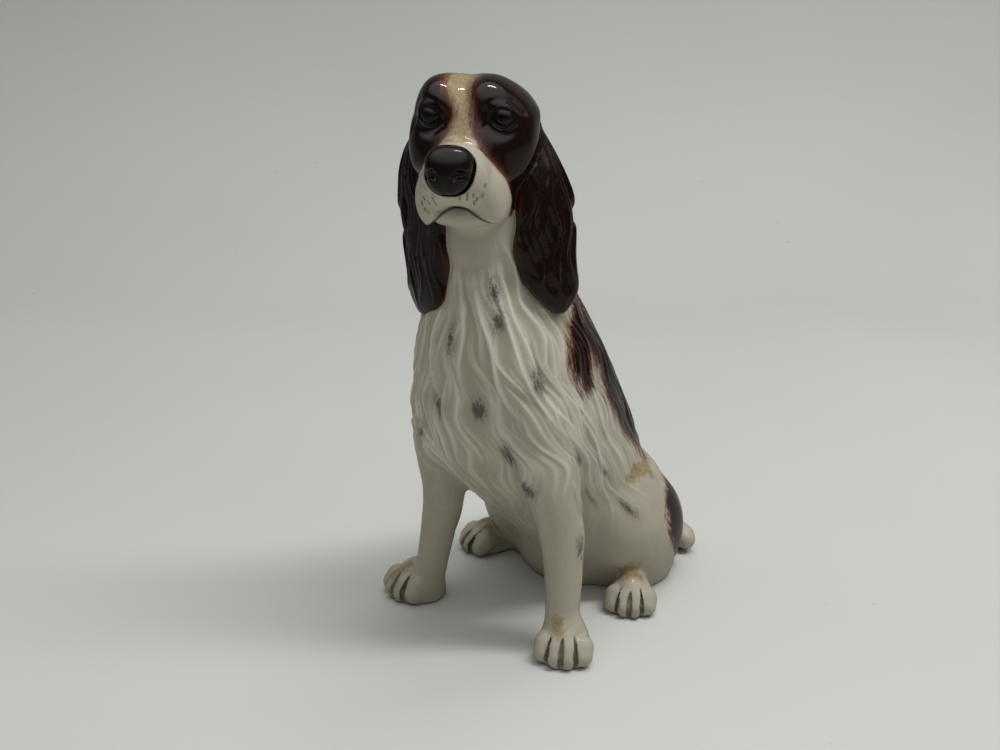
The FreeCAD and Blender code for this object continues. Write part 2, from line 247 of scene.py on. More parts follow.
def fine_table(rows):
    """Smooth curve through the rows of a table, sampled finely."""
    rows = np.array(rows, float)
    at, values = rows[:, 0], rows[:, 1:]
    slopes = np.gradient(values, at, axis=0)
    fine = np.linspace(at[0], at[-1], 400)
    low = np.clip(np.searchsorted(at, fine) - 1, 0, len(at) - 2)
    span = (at[low + 1] - at[low])[:, None]
    part = ((fine - at[low])[:, None]) / span
    start = (1 + 2 * part) * (1 - part) ** 2 * values[low]
    start += part * (1 - part) ** 2 * span * slopes[low]
    end = part ** 2 * (3 - 2 * part) * values[low + 1]
    end += part ** 2 * (part - 1) * span * slopes[low + 1]
    return fine, start + end


def columns(table, at):
    fine, values = table
    return [np.interp(at, fine, values[:, n]) for n in range(values.shape[1])]


def smooth_min(first, second, width):
    """The lesser of two distances, with the crease filled over a width."""
    blend = np.clip(0.5 + 0.5 * (second - first) / width, 0, 1)
    return second + (first - second) * blend - width * blend * (1 - blend)


def smooth_max(first, second, width):
    return -smooth_min(-first, -second, width)


def section(across, along, half_across, half_along, power):
    """How far a point lies outside a superellipse, measured from its middle."""
    ratio = np.abs(across / half_across) ** power + np.abs(along / half_along) ** power
    reach = np.hypot(across, along)
    return reach - reach / np.maximum(ratio, 1e-9) ** (1 / power)


def ellipsoid(points, centre, size):
    near = (points - np.array(centre)) / np.array(size)
    far = near / np.array(size)
    first = np.sqrt((near * near).sum(1)) + 1e-9
    second = np.sqrt((far * far).sum(1)) + 1e-9
    return first * (first - 1) / second


def rod(points, start, end, start_radius, end_radius):
    """Round rod from one point to another, whose radius changes evenly."""
    start = np.array(start, float)
    along = np.array(end, float) - start
    offset = points - start
    share = np.clip(offset @ along / (along @ along), 0, 1)
    gap = offset - share[:, None] * along
    return np.sqrt((gap * gap).sum(1)) - (start_radius + (end_radius - start_radius) * share)


def rods(points, line, radii, width=0.0):
    """Chain of rods through the points of a line, blended over a width."""
    result = rod(points, line[0], line[1], radii[0], radii[1])
    for n in range(1, len(line) - 1):
        piece = rod(points, line[n], line[n + 1], radii[n], radii[n + 1])
        result = smooth_min(result, piece, width) if width else np.minimum(result, piece)
    return result


def turn_about(points, place, degrees):
    """Points in a frame at the place whose -Y is turned towards +X by the angle."""
    angle = math.radians(degrees)
    x = points[:, 0] - place[0]
    y = points[:, 1] - place[1]
    return np.stack([
        x * math.cos(angle) + y * math.sin(angle),
        -x * math.sin(angle) + y * math.cos(angle),
        points[:, 2] - place[2]], 1)


def to_head(points):
    """Head frame: to the dog's left, forward along the face, up."""
    return turn_about(points, HEAD_PLACE, HEAD_TURN) * (1, -1, 1)


def leaned(local):
    """Head frame of the skull, which leans over with height."""
    result = local.copy()
    result[:, 0] += np.interp(local[:, 2], *HEAD_LEAN)
    return result


def folded(local):
    """Both halves of the face laid over each other."""
    result = local.copy()
    result[:, 0] = np.abs(local[:, 0])
    return result


TORSO_FINE = fine_table(TORSO)
HAUNCH_FINE = fine_table(HAUNCH)
FORELEG_FINE = fine_table(FORELEG)
SKULL_FINE = fine_table(SKULL)
MUZZLE_FINE = fine_table(MUZZLE)
TAIL_ROWS = [(n, *place, radius) for n, (place, radius) in enumerate(TAIL)]
TAIL_FINE = fine_table(TAIL_ROWS)[1][::21]
EAR_FINE = {1: fine_table(LEFT_EAR), -1: fine_table(RIGHT_EAR)}


def torso_field(points):
    front, back, half, widest = columns(TORSO_FINE, points[:, 2])
    middle = front + (back - front) * widest
    along = points[:, 1] - middle
    reach = np.where(along > 0, back - middle, middle - front)
    form = 0.88 * section(points[:, 0], along, half, reach, 2.2)
    return smooth_max(form, points[:, 2] - NECK_TOP, 4.0)


def haunch_field(points, side):
    outward, back, half_width, half_length = columns(HAUNCH_FINE, points[:, 2])
    across = points[:, 0] - side * outward
    form = section(across, points[:, 1] - back, half_width, half_length, 2.1)
    behind = points[:, 1] - np.interp(points[:, 2], *THIGH_EDGE)
    spread = np.interp(points[:, 2], *THIGH_SPREAD)
    form = form + THIGH_STEP * ramp(behind, -1.2 - spread, 2.0 + spread)
    return smooth_max(0.85 * form, points[:, 2] - HAUNCH[-1][0], 7.0)


def leg_axes(points, side):
    """Outward place, back, half width and half depth of a foreleg at each point's height."""
    left, right, back, half_width, half_depth = columns(FORELEG_FINE, points[:, 2])
    return side * (left if side > 0 else right), back, half_width, half_depth


def leg_field(points, side):
    outward, back, half_width, half_depth = leg_axes(points, side)
    form = section(points[:, 0] - outward, points[:, 1] - back, half_width, half_depth, 2.0)
    form = np.maximum(form, points[:, 2] - FORELEG[-1][0])
    return smooth_min(form, paw_field(points, side, FORE_PAWS[side]), 5.0)


def paw_frame(points, side, place):
    outward, forward, splay = place[:3]
    return turn_about(points, (side * outward, -forward, 0), side * splay) * (1, -1, 1)


TOE_SIDES = (-0.70, -0.245, 0.245, 0.70)
TOE_REACH = (0.44, 0.60, 0.60, 0.44)
GROOVE_SIDES = (-0.49, 0.0, 0.49)


def paw_field(points, side, place):
    """Rounded paw with four toes in a low fan."""
    half_width, half_length, height = place[3:]
    local = paw_frame(points, side, place)
    form = ellipsoid(local, (0, -0.10 * half_length, 0.02 * height),
                     (0.93 * half_width, 0.90 * half_length, 0.98 * height))
    for toe_side, reach in zip(TOE_SIDES, TOE_REACH):
        start = (0.66 * toe_side * half_width, -0.1 * half_length, 0.42 * height)
        middle = (0.92 * toe_side * half_width, (reach - 0.18) * half_length, 0.42 * height)
        end = (toe_side * half_width, reach * half_length, 0.27 * height)
        toe = rods(local, (start, middle, end), (4.2, 4.4, 4.2), 2.0)
        form = smooth_min(form, toe, 1.2)
    return form


def groove_field(points, side, place):
    """Distance from the lines cut between the toes."""
    half_width, half_length, height = place[3:]
    local = paw_frame(points, side, place)
    result = np.full(len(points), 99.0)
    for share in GROOVE_SIDES:
        front = 0.84 - 0.50 * share * share
        line = (
            (share * 1.06 * half_width, front * half_length, -1.0),
            (share * 1.02 * half_width, front * half_length, 0.36 * height),
            (share * 0.90 * half_width, (front - 0.20) * half_length, 0.60 * height),
            (share * 0.80 * half_width, (front - 0.38) * half_length, 0.74 * height),
        )
        result = np.minimum(result, rods(local, line, (1.1, 1.1, 0.7, 0.1)))
    return result


def tail_field(points):
    return rods(points, TAIL_FINE[:, :3], TAIL_FINE[:, 3])


def ear_field(points, side):
    """Long ear: distance, place across it and place through it."""
    local = to_head(points)
    drop = EAR_TOP - local[:, 2]
    outward, ahead, half_width, half_thickness, turn = columns(EAR_FINE[side], drop)
    half_width = half_width * (1 + EAR_WAVE * np.sin(2 * math.pi * drop / EAR_WAVE_LENGTH + side))
    angle = np.radians(turn)
    x = side * local[:, 0] - outward
    y = -local[:, 1] + ahead
    across = x * np.sin(angle) + y * np.cos(angle)
    through = x * np.cos(angle) - y * np.sin(angle)
    form = section(through, across, half_thickness, half_width, 2.3)
    length = EAR_FINE[side][0][-1]
    form = smooth_max(form, np.maximum(drop - length, -drop), 1.5)
    return form, across, through, drop


def head_section(table, local, widest=0.5):
    low, high, half_width, *flare = columns(table, local[:, 1])
    middle = low + widest * (high - low)
    half_height = np.where(local[:, 2] > middle, high - middle, middle - low)
    for share in flare:
        half_width = half_width * (1 - share * np.clip((local[:, 2] - middle) / half_height, -1, 1))
    form = section(local[:, 0], local[:, 2] - middle, half_width, half_height, 2.25)
    start, end = table[0][0], table[0][-1]
    return smooth_max(form, np.maximum(local[:, 1] - end, start - local[:, 1]), 1.0)


def head_field(points):
    """Skull, brows, muzzle with its flews, chin, nose pad, lids and eyes."""
    blend = HEAD_BLENDS
    local = to_head(points)
    leaning = leaned(local)
    sided = folded(leaning)
    lips = smooth_min(head_section(MUZZLE_FINE, local), ellipsoid(sided, *FLEW), blend["flew"])
    lips = smooth_max(lips, mouth_height(local) - local[:, 2], blend["mouth"])
    skull = head_section(SKULL_FINE, leaning, WIDEST_SHARE)
    skull = smooth_min(skull, ellipsoid(sided, *BROW), blend["brow"])
    skull = smooth_min(skull, ellipsoid(sided, *CHEEK), blend["cheek"])
    skull = smooth_max(skull, -ellipsoid(sided, *SOCKET), blend["socket"])
    skull = smooth_min(skull, lid_field(sided, EYE_RADIUS + 0.8), blend["lid"])
    skull = smooth_min(skull, ellipsoid(sided, EYE, (EYE_RADIUS,) * 3), blend["eye"])
    form = smooth_min(skull, lips, np.interp(local[:, 2], *LIP_BLEND))
    jaw = smooth_min(ellipsoid(local, *CHIN), ellipsoid(local, *THROAT), blend["throat"])
    form = smooth_min(form, jaw, blend["jaw"])
    pad = nose_field(local)
    form = smooth_max(form, -(np.abs(pad - 0.3) - 0.4), blend["rim"])
    return smooth_min(form, pad, blend["nose"])


def mouth_height(local):
    """Height of the line between lips and jaw across the muzzle."""
    share = np.clip(np.abs(local[:, 0] - 0.6) / MOUTH_REACH, 0, 1)
    fall = MOUTH_FALL * (1 - np.cos(math.pi * share)) / 2
    return MOUTH_HEIGHT - fall + MOUTH_TILT * local[:, 0]


def lid_field(sided, radius):
    """Lids round the eyeball, with their almond opening."""
    tilt = math.radians(EYE_TILT)
    across = sided[:, 0] - EYE[0]
    rise = sided[:, 2] - EYE[2]
    along = across * math.cos(tilt) + rise * math.sin(tilt)
    over = -across * math.sin(tilt) + rise * math.cos(tilt)
    opening = np.maximum(section(along, over, *EYE_OPENING, 1.8), EYE[1] - sided[:, 1])
    return smooth_max(ellipsoid(sided, EYE, (radius,) * 3), -opening, 0.7)


def nose_field(local):
    """Nose pad that narrows downward, with its nostrils and the cleft below."""
    ahead = local[:, 1] - NOSE[1]
    rise = local[:, 2] - NOSE[2]
    width = NOSE_SIZE[0] * (1 + 0.014 * rise)
    ratio = (np.abs(local[:, 0] / width) ** 2.5
             + np.abs((rise + 0.25 * ahead) / NOSE_SIZE[2]) ** 2.4
             + np.abs(ahead / NOSE_SIZE[1]) ** 2.2)
    form = (np.maximum(ratio, 1e-6) ** (1 / 2.35) - 1) * 6.5
    form = smooth_max(form, -rods(folded(local), NOSTRIL, NOSTRIL_RADII), 1.0)
    return smooth_max(form, -rod(local, *CLEFT), 0.9)


PIECES = ("torso_casting", "head_casting", "left_ear", "right_ear", "left_foreleg",
          "right_foreleg", "left_hind_paw", "right_hind_paw", "tail")
SIDES = (1, -1)
EARS = ((1, "left_ear"), (-1, "right_ear"))
FORELEGS = ((1, "left_foreleg"), (-1, "right_foreleg"))
SLOTS = {"head_casting": "head_glaze", "left_ear": "ear_glaze", "right_ear": "ear_glaze"}
PAWS = {
    "left_foreleg": FORE_PAWS[1], "right_foreleg": FORE_PAWS[-1],
    "left_hind_paw": HIND_PAWS[1], "right_hind_paw": HIND_PAWS[-1],
}
# Room of each form as low and high corners, which the right side has in mirror image
THIGH_ROOM = ((0, -50, -9), (62, 52, 78))
LEG_ROOM = ((4, -118, -9), (62, -36, 132))
PAW_ROOM = ((20, -60, -9), (62, 12, 26))
TAIL_ROOM = ((-20, 10, -9), (62, 52, 30))
HEAD_ROOM = ((-45, -122, 148), (50, -25, 236))
EAR_ROOM = ((-55, -122, 112), (55, -25, 236))
# Forms in the order in which they join the torso: casting, side, form, blend and room
JOINS = (
    ("torso_casting", 1, haunch_field, 9.0, THIGH_ROOM),
    ("torso_casting", -1, haunch_field, 9.0, THIGH_ROOM),
    ("left_foreleg", 1, leg_field, 6.0, LEG_ROOM),
    ("right_foreleg", -1, leg_field, 6.0, LEG_ROOM),
    ("left_hind_paw", 1, lambda p, side: paw_field(p, side, HIND_PAWS[side]), 2.5, PAW_ROOM),
    ("right_hind_paw", -1, lambda p, side: paw_field(p, side, HIND_PAWS[side]), 2.5, PAW_ROOM),
    ("tail", 1, lambda p, side: tail_field(p), 3.0, TAIL_ROOM),
    ("head_casting", 1, lambda p, side: head_field(p), 6.0, HEAD_ROOM),
    ("left_ear", 1, lambda p, side: ear_field(p, side)[0], 1.2, EAR_ROOM),
    ("right_ear", -1, lambda p, side: ear_field(p, side)[0], 1.2, EAR_ROOM),
)
# Height below which toes are cut, and the blends of their cuts and of the flat foot
TOE_ROOM = 20.0
TOE_BLEND = 0.8
FOOT_BLEND = 0.6


def field(points, apart=False):
    """Distance from the whole figure's surface, or those from each of its castings."""
    torso = torso_field(points)
    form = torso.copy()
    parts = {name: np.full(len(points), FAR) for name in PIECES}
    parts["torso_casting"] = torso.copy()
    for name, side, work, width, (low, high) in JOINS:
        mirrored = points * (side, 1, 1)
        chosen = np.nonzero(((mirrored > low) & (mirrored < high)).all(1))[0]
        if not len(chosen):
            continue
        joined = work(points[chosen], side)
        parts[name][chosen] = np.minimum(parts[name][chosen], joined)
        form[chosen] = smooth_min(form[chosen], joined, width)
        if name in PAWS:
            toes = chosen[points[chosen, 2] < TOE_ROOM]
            groove = groove_field(points[toes], side, PAWS[name])
            form[toes] = smooth_max(form[toes], -groove, TOE_BLEND)
    if not apart:
        return smooth_max(form, -points[:, 2], FOOT_BLEND)
    upper = points[:, 2] > NECK_SEAM
    parts["head_casting"] = np.where(upper, np.minimum(parts["head_casting"], torso), 99.0)
    parts["torso_casting"] = np.where(upper, 99.0, parts["torso_casting"])
    return np.stack([parts[name] for name in PIECES], 1)


def nearest(parts, *names):
    """Distance from the nearest of the named castings."""
    return np.min([parts[:, PIECES.index(name)] for name in names], 0)


def in_chunks(work, points, size=200000):
    return np.concatenate([work(points[n:n + size]) for n in range(0, len(points), size)])


def gradient(work, points, step=0.05):
    result = np.empty_like(points)
    for axis in range(3):
        offset = np.zeros(3)
        offset[axis] = step
        result[:, axis] = (work(points + offset) - work(points - offset)) / (2 * step)
    return result


# Painted patches: points of a middle line and radii, in millimetres
LIVER_PATCHES = [
    (((25, -43, 141), (31, -48, 131), (34, -51, 122), (36, -50, 113), (37, -50, 107)),
     (5, 9.5, 9.5, 6.5, 1.5)),
    (((16, -40, 138), (25, -33, 124), (29, -25, 106), (30, -12, 88), (27, 2, 74), (29, 7, 64),
      (31, 5, 60)), (10, 12, 12.5, 12, 9, 6, 2.5)),
    (((6, -28, 132), (6, -12, 112), (7, 0, 94), (9, 10, 78)), (18, 22, 20, 9)),
    (((38, 20, 47), (43, 13, 37), (45, 14, 27), (42, 19, 15), (39, 23, 7)), (6, 10, 10, 7, 5)),
    (((28, -40, 130), (31, -38, 120)), (9, 6)),
    (((-31, -42, 128), (-34, -38, 116), (-36, -36, 104)), (8, 9, 4)),
    (((-42, 6, 44), (-44, 12, 34), (-43, 17, 22)), (7, 9, 6)),
]
TAN_PATCHES = [
    (((35.8, -15, 58), (35, -7, 59.5), (34.5, 1, 57), (37.5, 2, 53)), (2, 3.4, 3.4, 2)),
    (((43, -78, 14), (41, -74, 16)), (1.5, 2.5)),
    (((38, -19, 14), (44, -17, 16)), (3, 3.5)),
    (((-46, -78, 12), (-42, -75, 15)), (2, 3)),
    (((-43, -18, 15), (-36, -19, 15)), (3, 4)),
    (((3, 26, 14), (12, 34, 14)), (3, 3)),
]
# Clusters of short strokes: turn round the body in degrees, height, half width, half length
SPOTS = [
    (33, 153, 1.9, 4.3), (37, 142, 2.2, 4.3), (2, 133, 1.7, 4.7), (58, 119, 2.3, 5.6),
    (-7, 106, 2.2, 4.7), (20, 108, 3.1, 4.7), (-32, 88, 1.7, 4.0), (29, 88, 2.8, 5.6),
    (66, 82, 2.7, 4.7), (81, 68, 1.6, 4.8), (58, 58, 1.4, 4.0), (32, 74, 2.2, 3.6),
    (77, 47, 2.0, 4.6), (-52, 122, 2.5, 5.2), (-74, 96, 2.8, 5.2), (-88, 72, 2.2, 4.3), (-60, 64, 2.0, 4.3),
    (-104, 100, 2.3, 5.2), (-112, 58, 2.7, 4.3), (-80, 40, 2.0, 4.3), (150, 46, 2.3, 4.3),
    (-150, 60, 2.7, 5.2), (175, 34, 2.3, 4.3),
]
WRIST_SPOT = (41.6, -62.0, 46.6)
# Brown of the head: front edge and half the blaze over height, the blaze behind, the lower edge
MASK_FRONT = ((-29, -20, -10, -3, 3, 8, 12), (13.0, 19.0, 24.2, 27.4, 29.5, 36.0, 60.0))
HALF_BLAZE = ((-4, 2, 5, 9, 16, 21), (9.0, 4.8, 2.9, 2.4, 3.4, 4.8))
BLAZE_END = ((-12, -8, 4), (-6.0, 0.6, 5.0))
MASK_UNDER = ((-30, -14, 2, 8, 16), (-19.0, -21.0, -24.0, -27.0, -29.0))
# Edge of the tan in the blaze over height
BLAZE_TAN = ((-3, 1, 4), (8.0, 0.0, -4.0))
# Whisker marks on each side of the nose: across, height, lean
WHISKERS = {
    1: [(3.6, -17.2, 0.5), (6.4, -15.8, 0.6), (6.0, -17.4, 0.9), (8.1, -16.4, 0.4),
        (8.8, -18.0, 0.8), (7.6, -19.4, 0.3), (10.6, -16.8, 0.6), (11.6, -13.2, 0.2)],
    -1: [(12.2, -14.2, 0.4), (9.6, -14.2, 0.7), (6.0, -16.6, 0.8), (6.8, -18.2, 0.3),
         (11.2, -19.0, 0.5), (9.4, -20.4, 0.9), (6.6, -20.6, 0.6), (11.4, -23.4, 0.3),
         (10.0, -24.4, 0.7), (12.4, -21.2, 0.5)],
}


def ramp(values, low, high):
    share = np.clip((values - low) / (high - low), 0, 1)
    return share * share * (3 - 2 * share)


def body_chart(points):
    """Turn round the body from its front, and the radius that makes it a length."""
    front, back, half, widest = columns(TORSO_FINE, points[:, 2])
    middle = front + (back - front) * widest
    turn = np.arctan2(points[:, 0], middle - points[:, 1])
    return turn, (half + (back - front) / 2) / 2


# How far the locks sway, in millimetres, their radians to the millimetre, and how they part
LOCK_SWING = 1.7
LOCK_PITCH = 0.23
COMB_RATE = 0.012
# Outward turn of the locks, and how far the coat is combed out, over height
FLOW = ((40, 78, 98, 165, 180), (-1.4, -0.6, 1, 1, 0.3))
FLOW_RATE = 0.011
COMBED = ((0, 40, 78, 98, 165, 208), (-30, -8, 30, 36, 0, 0))
# Rows of locks: how many, the highest, the step down, the room for one and how many points it has
COAT_ROWS = 24
COAT_TOP = 208
ROW_STEP = 8.0
LOCK_ROOM = 7.4
LOCK_POINTS = 13
COAT_STRENGTH = ((0, 14, 40, 80, 170, 190), (0.1, 0.2, 0.4, 1, 1, 0.35))
# Distances over which the coat rises beside each form, and what is left of it on the thighs
COAT_FADES = {"skull": (0.2, 4), "ears": (0.5, 2), "paws": (0, 3), "tail": (0, 3)}
THIGH_FADE = (-1, 5)
THIGH_SHARE = 0.16
# Loss of the coat on the forelegs, how near them, and the heights where the loss ends
LEG_LOSS = 0.74
LEG_FADE = (0, 4)
LEG_HEIGHTS = (58, 92)
# Longer locks, drawn one by one: turn in degrees and height along each, rise, and the steep side
CHEST_LOCKS = [
    (((-44, 96), (-30, 82), (-16, 66), (-4, 50), (2, 40)), 1.3, 1),
    (((-36, 112), (-34, 98), (-26, 84), (-14, 70)), 1.0, -1),
    (((38, 172), (44, 150), (56, 132), (60, 112), (72, 96), (70, 80)), 1.2, -1),
    (((26, 176), (32, 156), (44, 138), (50, 120), (58, 104), (66, 88)), 1.1, 1),
    (((14, 170), (18, 150), (30, 134), (34, 114), (44, 100)), 1.0, 1),
    (((0, 172), (6, 152), (12, 138), (10, 122), (16, 108)), 1.0, -1),
    (((-14, 168), (-10, 150), (-16, 134), (-12, 118), (-2, 104)), 1.0, 1),
    (((-28, 164), (-30, 146), (-24, 130), (-30, 112)), 0.9, -1),
    (((80, 104), (86, 88), (80, 72), (66, 58)), 1.2, 1),
    (((74, 120), (82, 106), (90, 92), (88, 78)), 1.0, 1),
]
# Lines of the face in the head frame: places across and up, height and width
FACE_LINES = (
    (((8.0, 10.4), (9.8, 13.6), (13.0, 14.6), (17.0, 13.4), (20.0, 9.0)), -0.35, 0.8),
    (((18.2, 8.6), (20.4, 5.4), (21.4, 1.0)), -0.4, 0.5),
    (((8.8, 7.0), (7.2, 4.8)), -0.3, 0.7),
    (((8.6, 5.0), (11.0, 2.0), (14.6, 1.4), (18.2, 4.2)), -0.12, 0.8),
)
# The blaze and the furrow of the forehead lean over by this much between these heights
CROWN_LEAN = 3.2
CROWN_HEIGHTS = (10, 20)


def flow(turn, height):
    """How far the locks turn outward for each millimetre that they fall."""
    spread = FLOW_RATE * math.sin(2 * turn) if abs(turn) < math.pi / 2 else 0.0
    return spread * float(np.interp(height, *FLOW))


def coat_strand(points):
    """Places in a coat combed straight, so that fine texture follows the locks."""
    turn, radius = body_chart(points)
    swing = LOCK_SWING * np.sin(2 * turn + LOCK_PITCH * points[:, 2]) / (radius + 3)
    ahead, aside = np.cos(turn - swing), np.sin(turn - swing)
    combed = np.exp(-COMB_RATE * np.interp(points[:, 2], *COMBED))
    aside = np.where(ahead > 0, aside * combed, aside)
    length = radius / np.hypot(ahead, aside)
    return np.stack([aside * length, ahead * length, points[:, 2] / 14], 1)


def coat_strokes():
    """Locks laid down the body in staggered rows, each a slow S."""
    draw = np.random.default_rng(11)
    strokes = []
    for row in range(COAT_ROWS):
        row_top = COAT_TOP - ROW_STEP * row
        half = float(columns(TORSO_FINE, np.array([row_top]))[2][0])
        count = int(2 * math.pi * (half + 3) / LOCK_ROOM)
        for n in range(count):
            share = (n + 0.5 * (row % 2) + draw.uniform(-0.35, 0.35)) / count
            turn = (share - 0.5) * 2 * math.pi
            top = row_top + draw.uniform(-6, 6)
            length = draw.uniform(26, 56)
            phase, swing = draw.uniform(-0.7, 0.7) + 2.2 * turn, draw.uniform(1.0, 2.4) / (half + 3)
            heights = top - length * np.linspace(0, 1, LOCK_POINTS)
            line = []
            for height in heights:
                line.append(turn + swing * math.sin(phase + LOCK_PITCH * height))
                turn += flow(turn, height) * length / (LOCK_POINTS - 1)
            rise = draw.uniform(0.3, 0.95)
            side = 1 if draw.random() < 0.5 else -1
            width = draw.uniform(0.55, 0.95)
            strokes.append((heights[::-1], np.array(line)[::-1], rise, side, width))
    return strokes + chest_strokes()


def chest_strokes():
    strokes = []
    for corners, rise, side in CHEST_LOCKS:
        corners = np.array(corners[::-1], float)
        heights, turns = fine_table(np.stack([corners[:, 1], np.radians(corners[:, 0])], 1))
        strokes.append((heights, turns[:, 0], rise, side, 0.8))
    return strokes


def ear_strokes(side, face):
    """Long wavy locks down one face of an ear, as shares of its half width."""
    draw = np.random.default_rng(30 + side + 4 * face)
    length = EAR_FINE[side][0][-1]
    strokes = []
    for n in range(15):
        place = (n + 0.5) / 7.5 - 1 + draw.uniform(-0.05, 0.05)
        top = draw.uniform(2, 26) if n % 2 else draw.uniform(0, 10)
        heights = np.linspace(top, length - draw.uniform(1, 22), 20)
        phase = 0.5 * n + draw.uniform(-0.5, 0.5)
        line = place * (0.82 + 0.18 * heights / length)
        line = line + 0.15 * np.sin(phase + 6.28 * heights / draw.uniform(26, 38))
        rise, steep = draw.uniform(0.9, 1.8), 1 if n % 3 else -1
        strokes.append((heights, line, rise, steep, draw.uniform(0.7, 1.0)))
    return strokes


def lay_strokes(strokes, across, along, scale, period=0.0):
    """Height of the highest lock at each place: sharp on one side, sloping on the other."""
    order = np.argsort(along)
    ordered = along[order]
    result = np.zeros(len(along))
    for heights, line, rise, side, width in strokes:
        low, high = np.searchsorted(ordered, (heights[0], heights[-1]))
        chosen = order[low:high]
        gap = across[chosen] - np.interp(along[chosen], heights, line)
        if period:
            gap = (gap + period / 2) % period - period / 2
        gap *= scale[chosen] * side
        share = (along[chosen] - heights[0]) / (heights[-1] - heights[0])
        taper = np.sin(math.pi * np.clip(share, 0, 1)) ** 0.6
        reach = np.where(gap < 0, 0.75 * width, 2.6 * width)
        lock = rise * taper * np.exp(-np.abs(gap / reach) ** 1.45)
        result[chosen] = np.maximum(result[chosen], lock)
    return result


def head_relief(points):
    """Folds of the lids, lines behind the eyes, and the furrow of the forehead."""
    local = to_head(points)
    flat = folded(leaned(local))[:, (0, 2)]
    ahead = ramp(local[:, 1], 8, 14)
    result = np.zeros(len(points))
    for corners, height, width in FACE_LINES:
        gap = rods(flat, corners, (0.0,) * len(corners))
        result += height * ahead * np.exp(-(gap / width) ** 2)
    middle = local[:, 0] + CROWN_LEAN * ramp(local[:, 2], *CROWN_HEIGHTS)
    return result - 0.7 * ramp(local[:, 2], 6, 18) * np.exp(-(middle / 3.4) ** 2)


def relief(points, parts):
    """Height of the fur and folds over the smooth form, and that of the fur alone."""
    turn, radius = body_chart(points)
    height = points[:, 2]
    legs = nearest(parts, "left_foreleg", "right_foreleg")
    ears = nearest(parts, "left_ear", "right_ear")
    thighs = np.minimum(haunch_field(points, 1), haunch_field(points, -1))
    skull = head_field(points)
    beside = {
        "skull": skull, "ears": ears, "tail": nearest(parts, "tail"),
        "paws": nearest(parts, "left_hind_paw", "right_hind_paw"),
    }
    coat = lay_strokes(coat_strokes(), turn, height, radius, 2 * math.pi)
    coat *= np.interp(height, *COAT_STRENGTH)
    coat *= THIGH_SHARE + (1 - THIGH_SHARE) * ramp(thighs, *THIGH_FADE)
    coat *= 1 - LEG_LOSS * (1 - ramp(legs, *LEG_FADE)) * (1 - ramp(height, *LEG_HEIGHTS))
    for name, limits in COAT_FADES.items():
        coat *= ramp(beside[name], *limits)
    result = coat.copy()
    for side, name in EARS:
        own = nearest(parts, name)
        chosen = np.nonzero((own < 0.6) & (own < skull + 0.5))[0]
        across, through, drop = ear_field(points[chosen], side)[1:]
        half = columns(EAR_FINE[side], drop)[2]
        for face in (0, 1):
            facing = (through > 0) == (face == 1)
            place = across[facing] / half[facing]
            locks = lay_strokes(ear_strokes(side, face), place, drop[facing], half[facing])
            result[chosen[facing]] = locks * ramp(drop[facing], 0, 6)
    result += head_relief(points) * (1 - ramp(skull, 0.3, 1.5)) * ramp(ears, 0, 1)
    return result + leg_feather(points, parts), coat


def leg_feather(points, parts):
    """Short pointed locks down the rear edge of each foreleg."""
    result = np.zeros(len(points))
    for side, name in FORELEGS:
        near = nearest(parts, name) < 0.5
        chosen = np.nonzero(near & (points[:, 2] > 22) & (points[:, 2] < 100))[0]
        outward, back, half_width, half_depth = leg_axes(points[chosen], side)
        turn = np.arctan2(side * (points[chosen, 0] - outward), points[chosen, 1] - back)
        draw = np.random.default_rng(50 + side)
        strokes = []
        for n in range(46):
            top = draw.uniform(48, 100)
            heights = np.linspace(top - draw.uniform(12, 22), top, 8)
            place = draw.uniform(-0.5, 1.5)
            line = place + 0.035 * (top - heights) * draw.uniform(-1, 0.4)
            strokes.append((heights, line, draw.uniform(0.5, 1.0), 1 if n % 2 else -1, 0.7))
        result[chosen] = 0.9 * lay_strokes(strokes, turn, points[chosen, 2], half_depth)
    return result


def capsules(points, patches):
    result = np.full(len(points), 60.0)
    for line, radii in patches:
        result = np.minimum(result, rods(points, line, radii))
    return result


def head_liver(local):
    """Distance inside the brown of the head: cheeks and skull without blaze, muzzle and throat."""
    ahead, rise = local[:, 1], local[:, 2]
    across = np.abs(local[:, 0] + CROWN_LEAN * ramp(rise, *CROWN_HEIGHTS))
    half_blaze = np.where(ahead < 4, np.interp(ahead, *BLAZE_END), np.interp(rise, *HALF_BLAZE))
    inside = np.maximum(ahead - np.interp(rise, *MASK_FRONT), half_blaze - across)
    return np.maximum(inside, np.interp(ahead, *MASK_UNDER) - rise)


def off_head(skull):
    """Distance that ends the brown and the tan of the head at the neck."""
    return 4 * (skull - 2.4)


def brown_paint(points, parts, local, skull):
    """Distance from the edge of the brown, and how widely that edge frays."""
    ears = nearest(parts, "left_ear", "right_ear")
    ear_brown = np.clip(6 * ears - 4.5, -6.0, 9.0)
    for side, name in EARS:
        chosen = np.nonzero(nearest(parts, name) < 1.0)[0]
        across, through, drop = ear_field(points[chosen], side)[1:]
        half = columns(EAR_FINE[side], drop)[2]
        ear_brown[chosen] += 2.4 * ramp(np.abs(across / half), 0.80, 1.02)
    others = np.minimum(np.maximum(head_liver(local), off_head(skull)), ear_brown)
    patches = capsules(points, LIVER_PATCHES)
    on_head = 1 - ramp(skull, 1.0, 3.5)
    least = 0.10 + 0.36 * on_head * ramp(local[:, 2], -1, 4)
    fray = np.maximum(np.where(patches < others, 1 - on_head, 0.0), least)
    return np.minimum(others, patches), fray * ramp(ears, 0.5, 2.5)


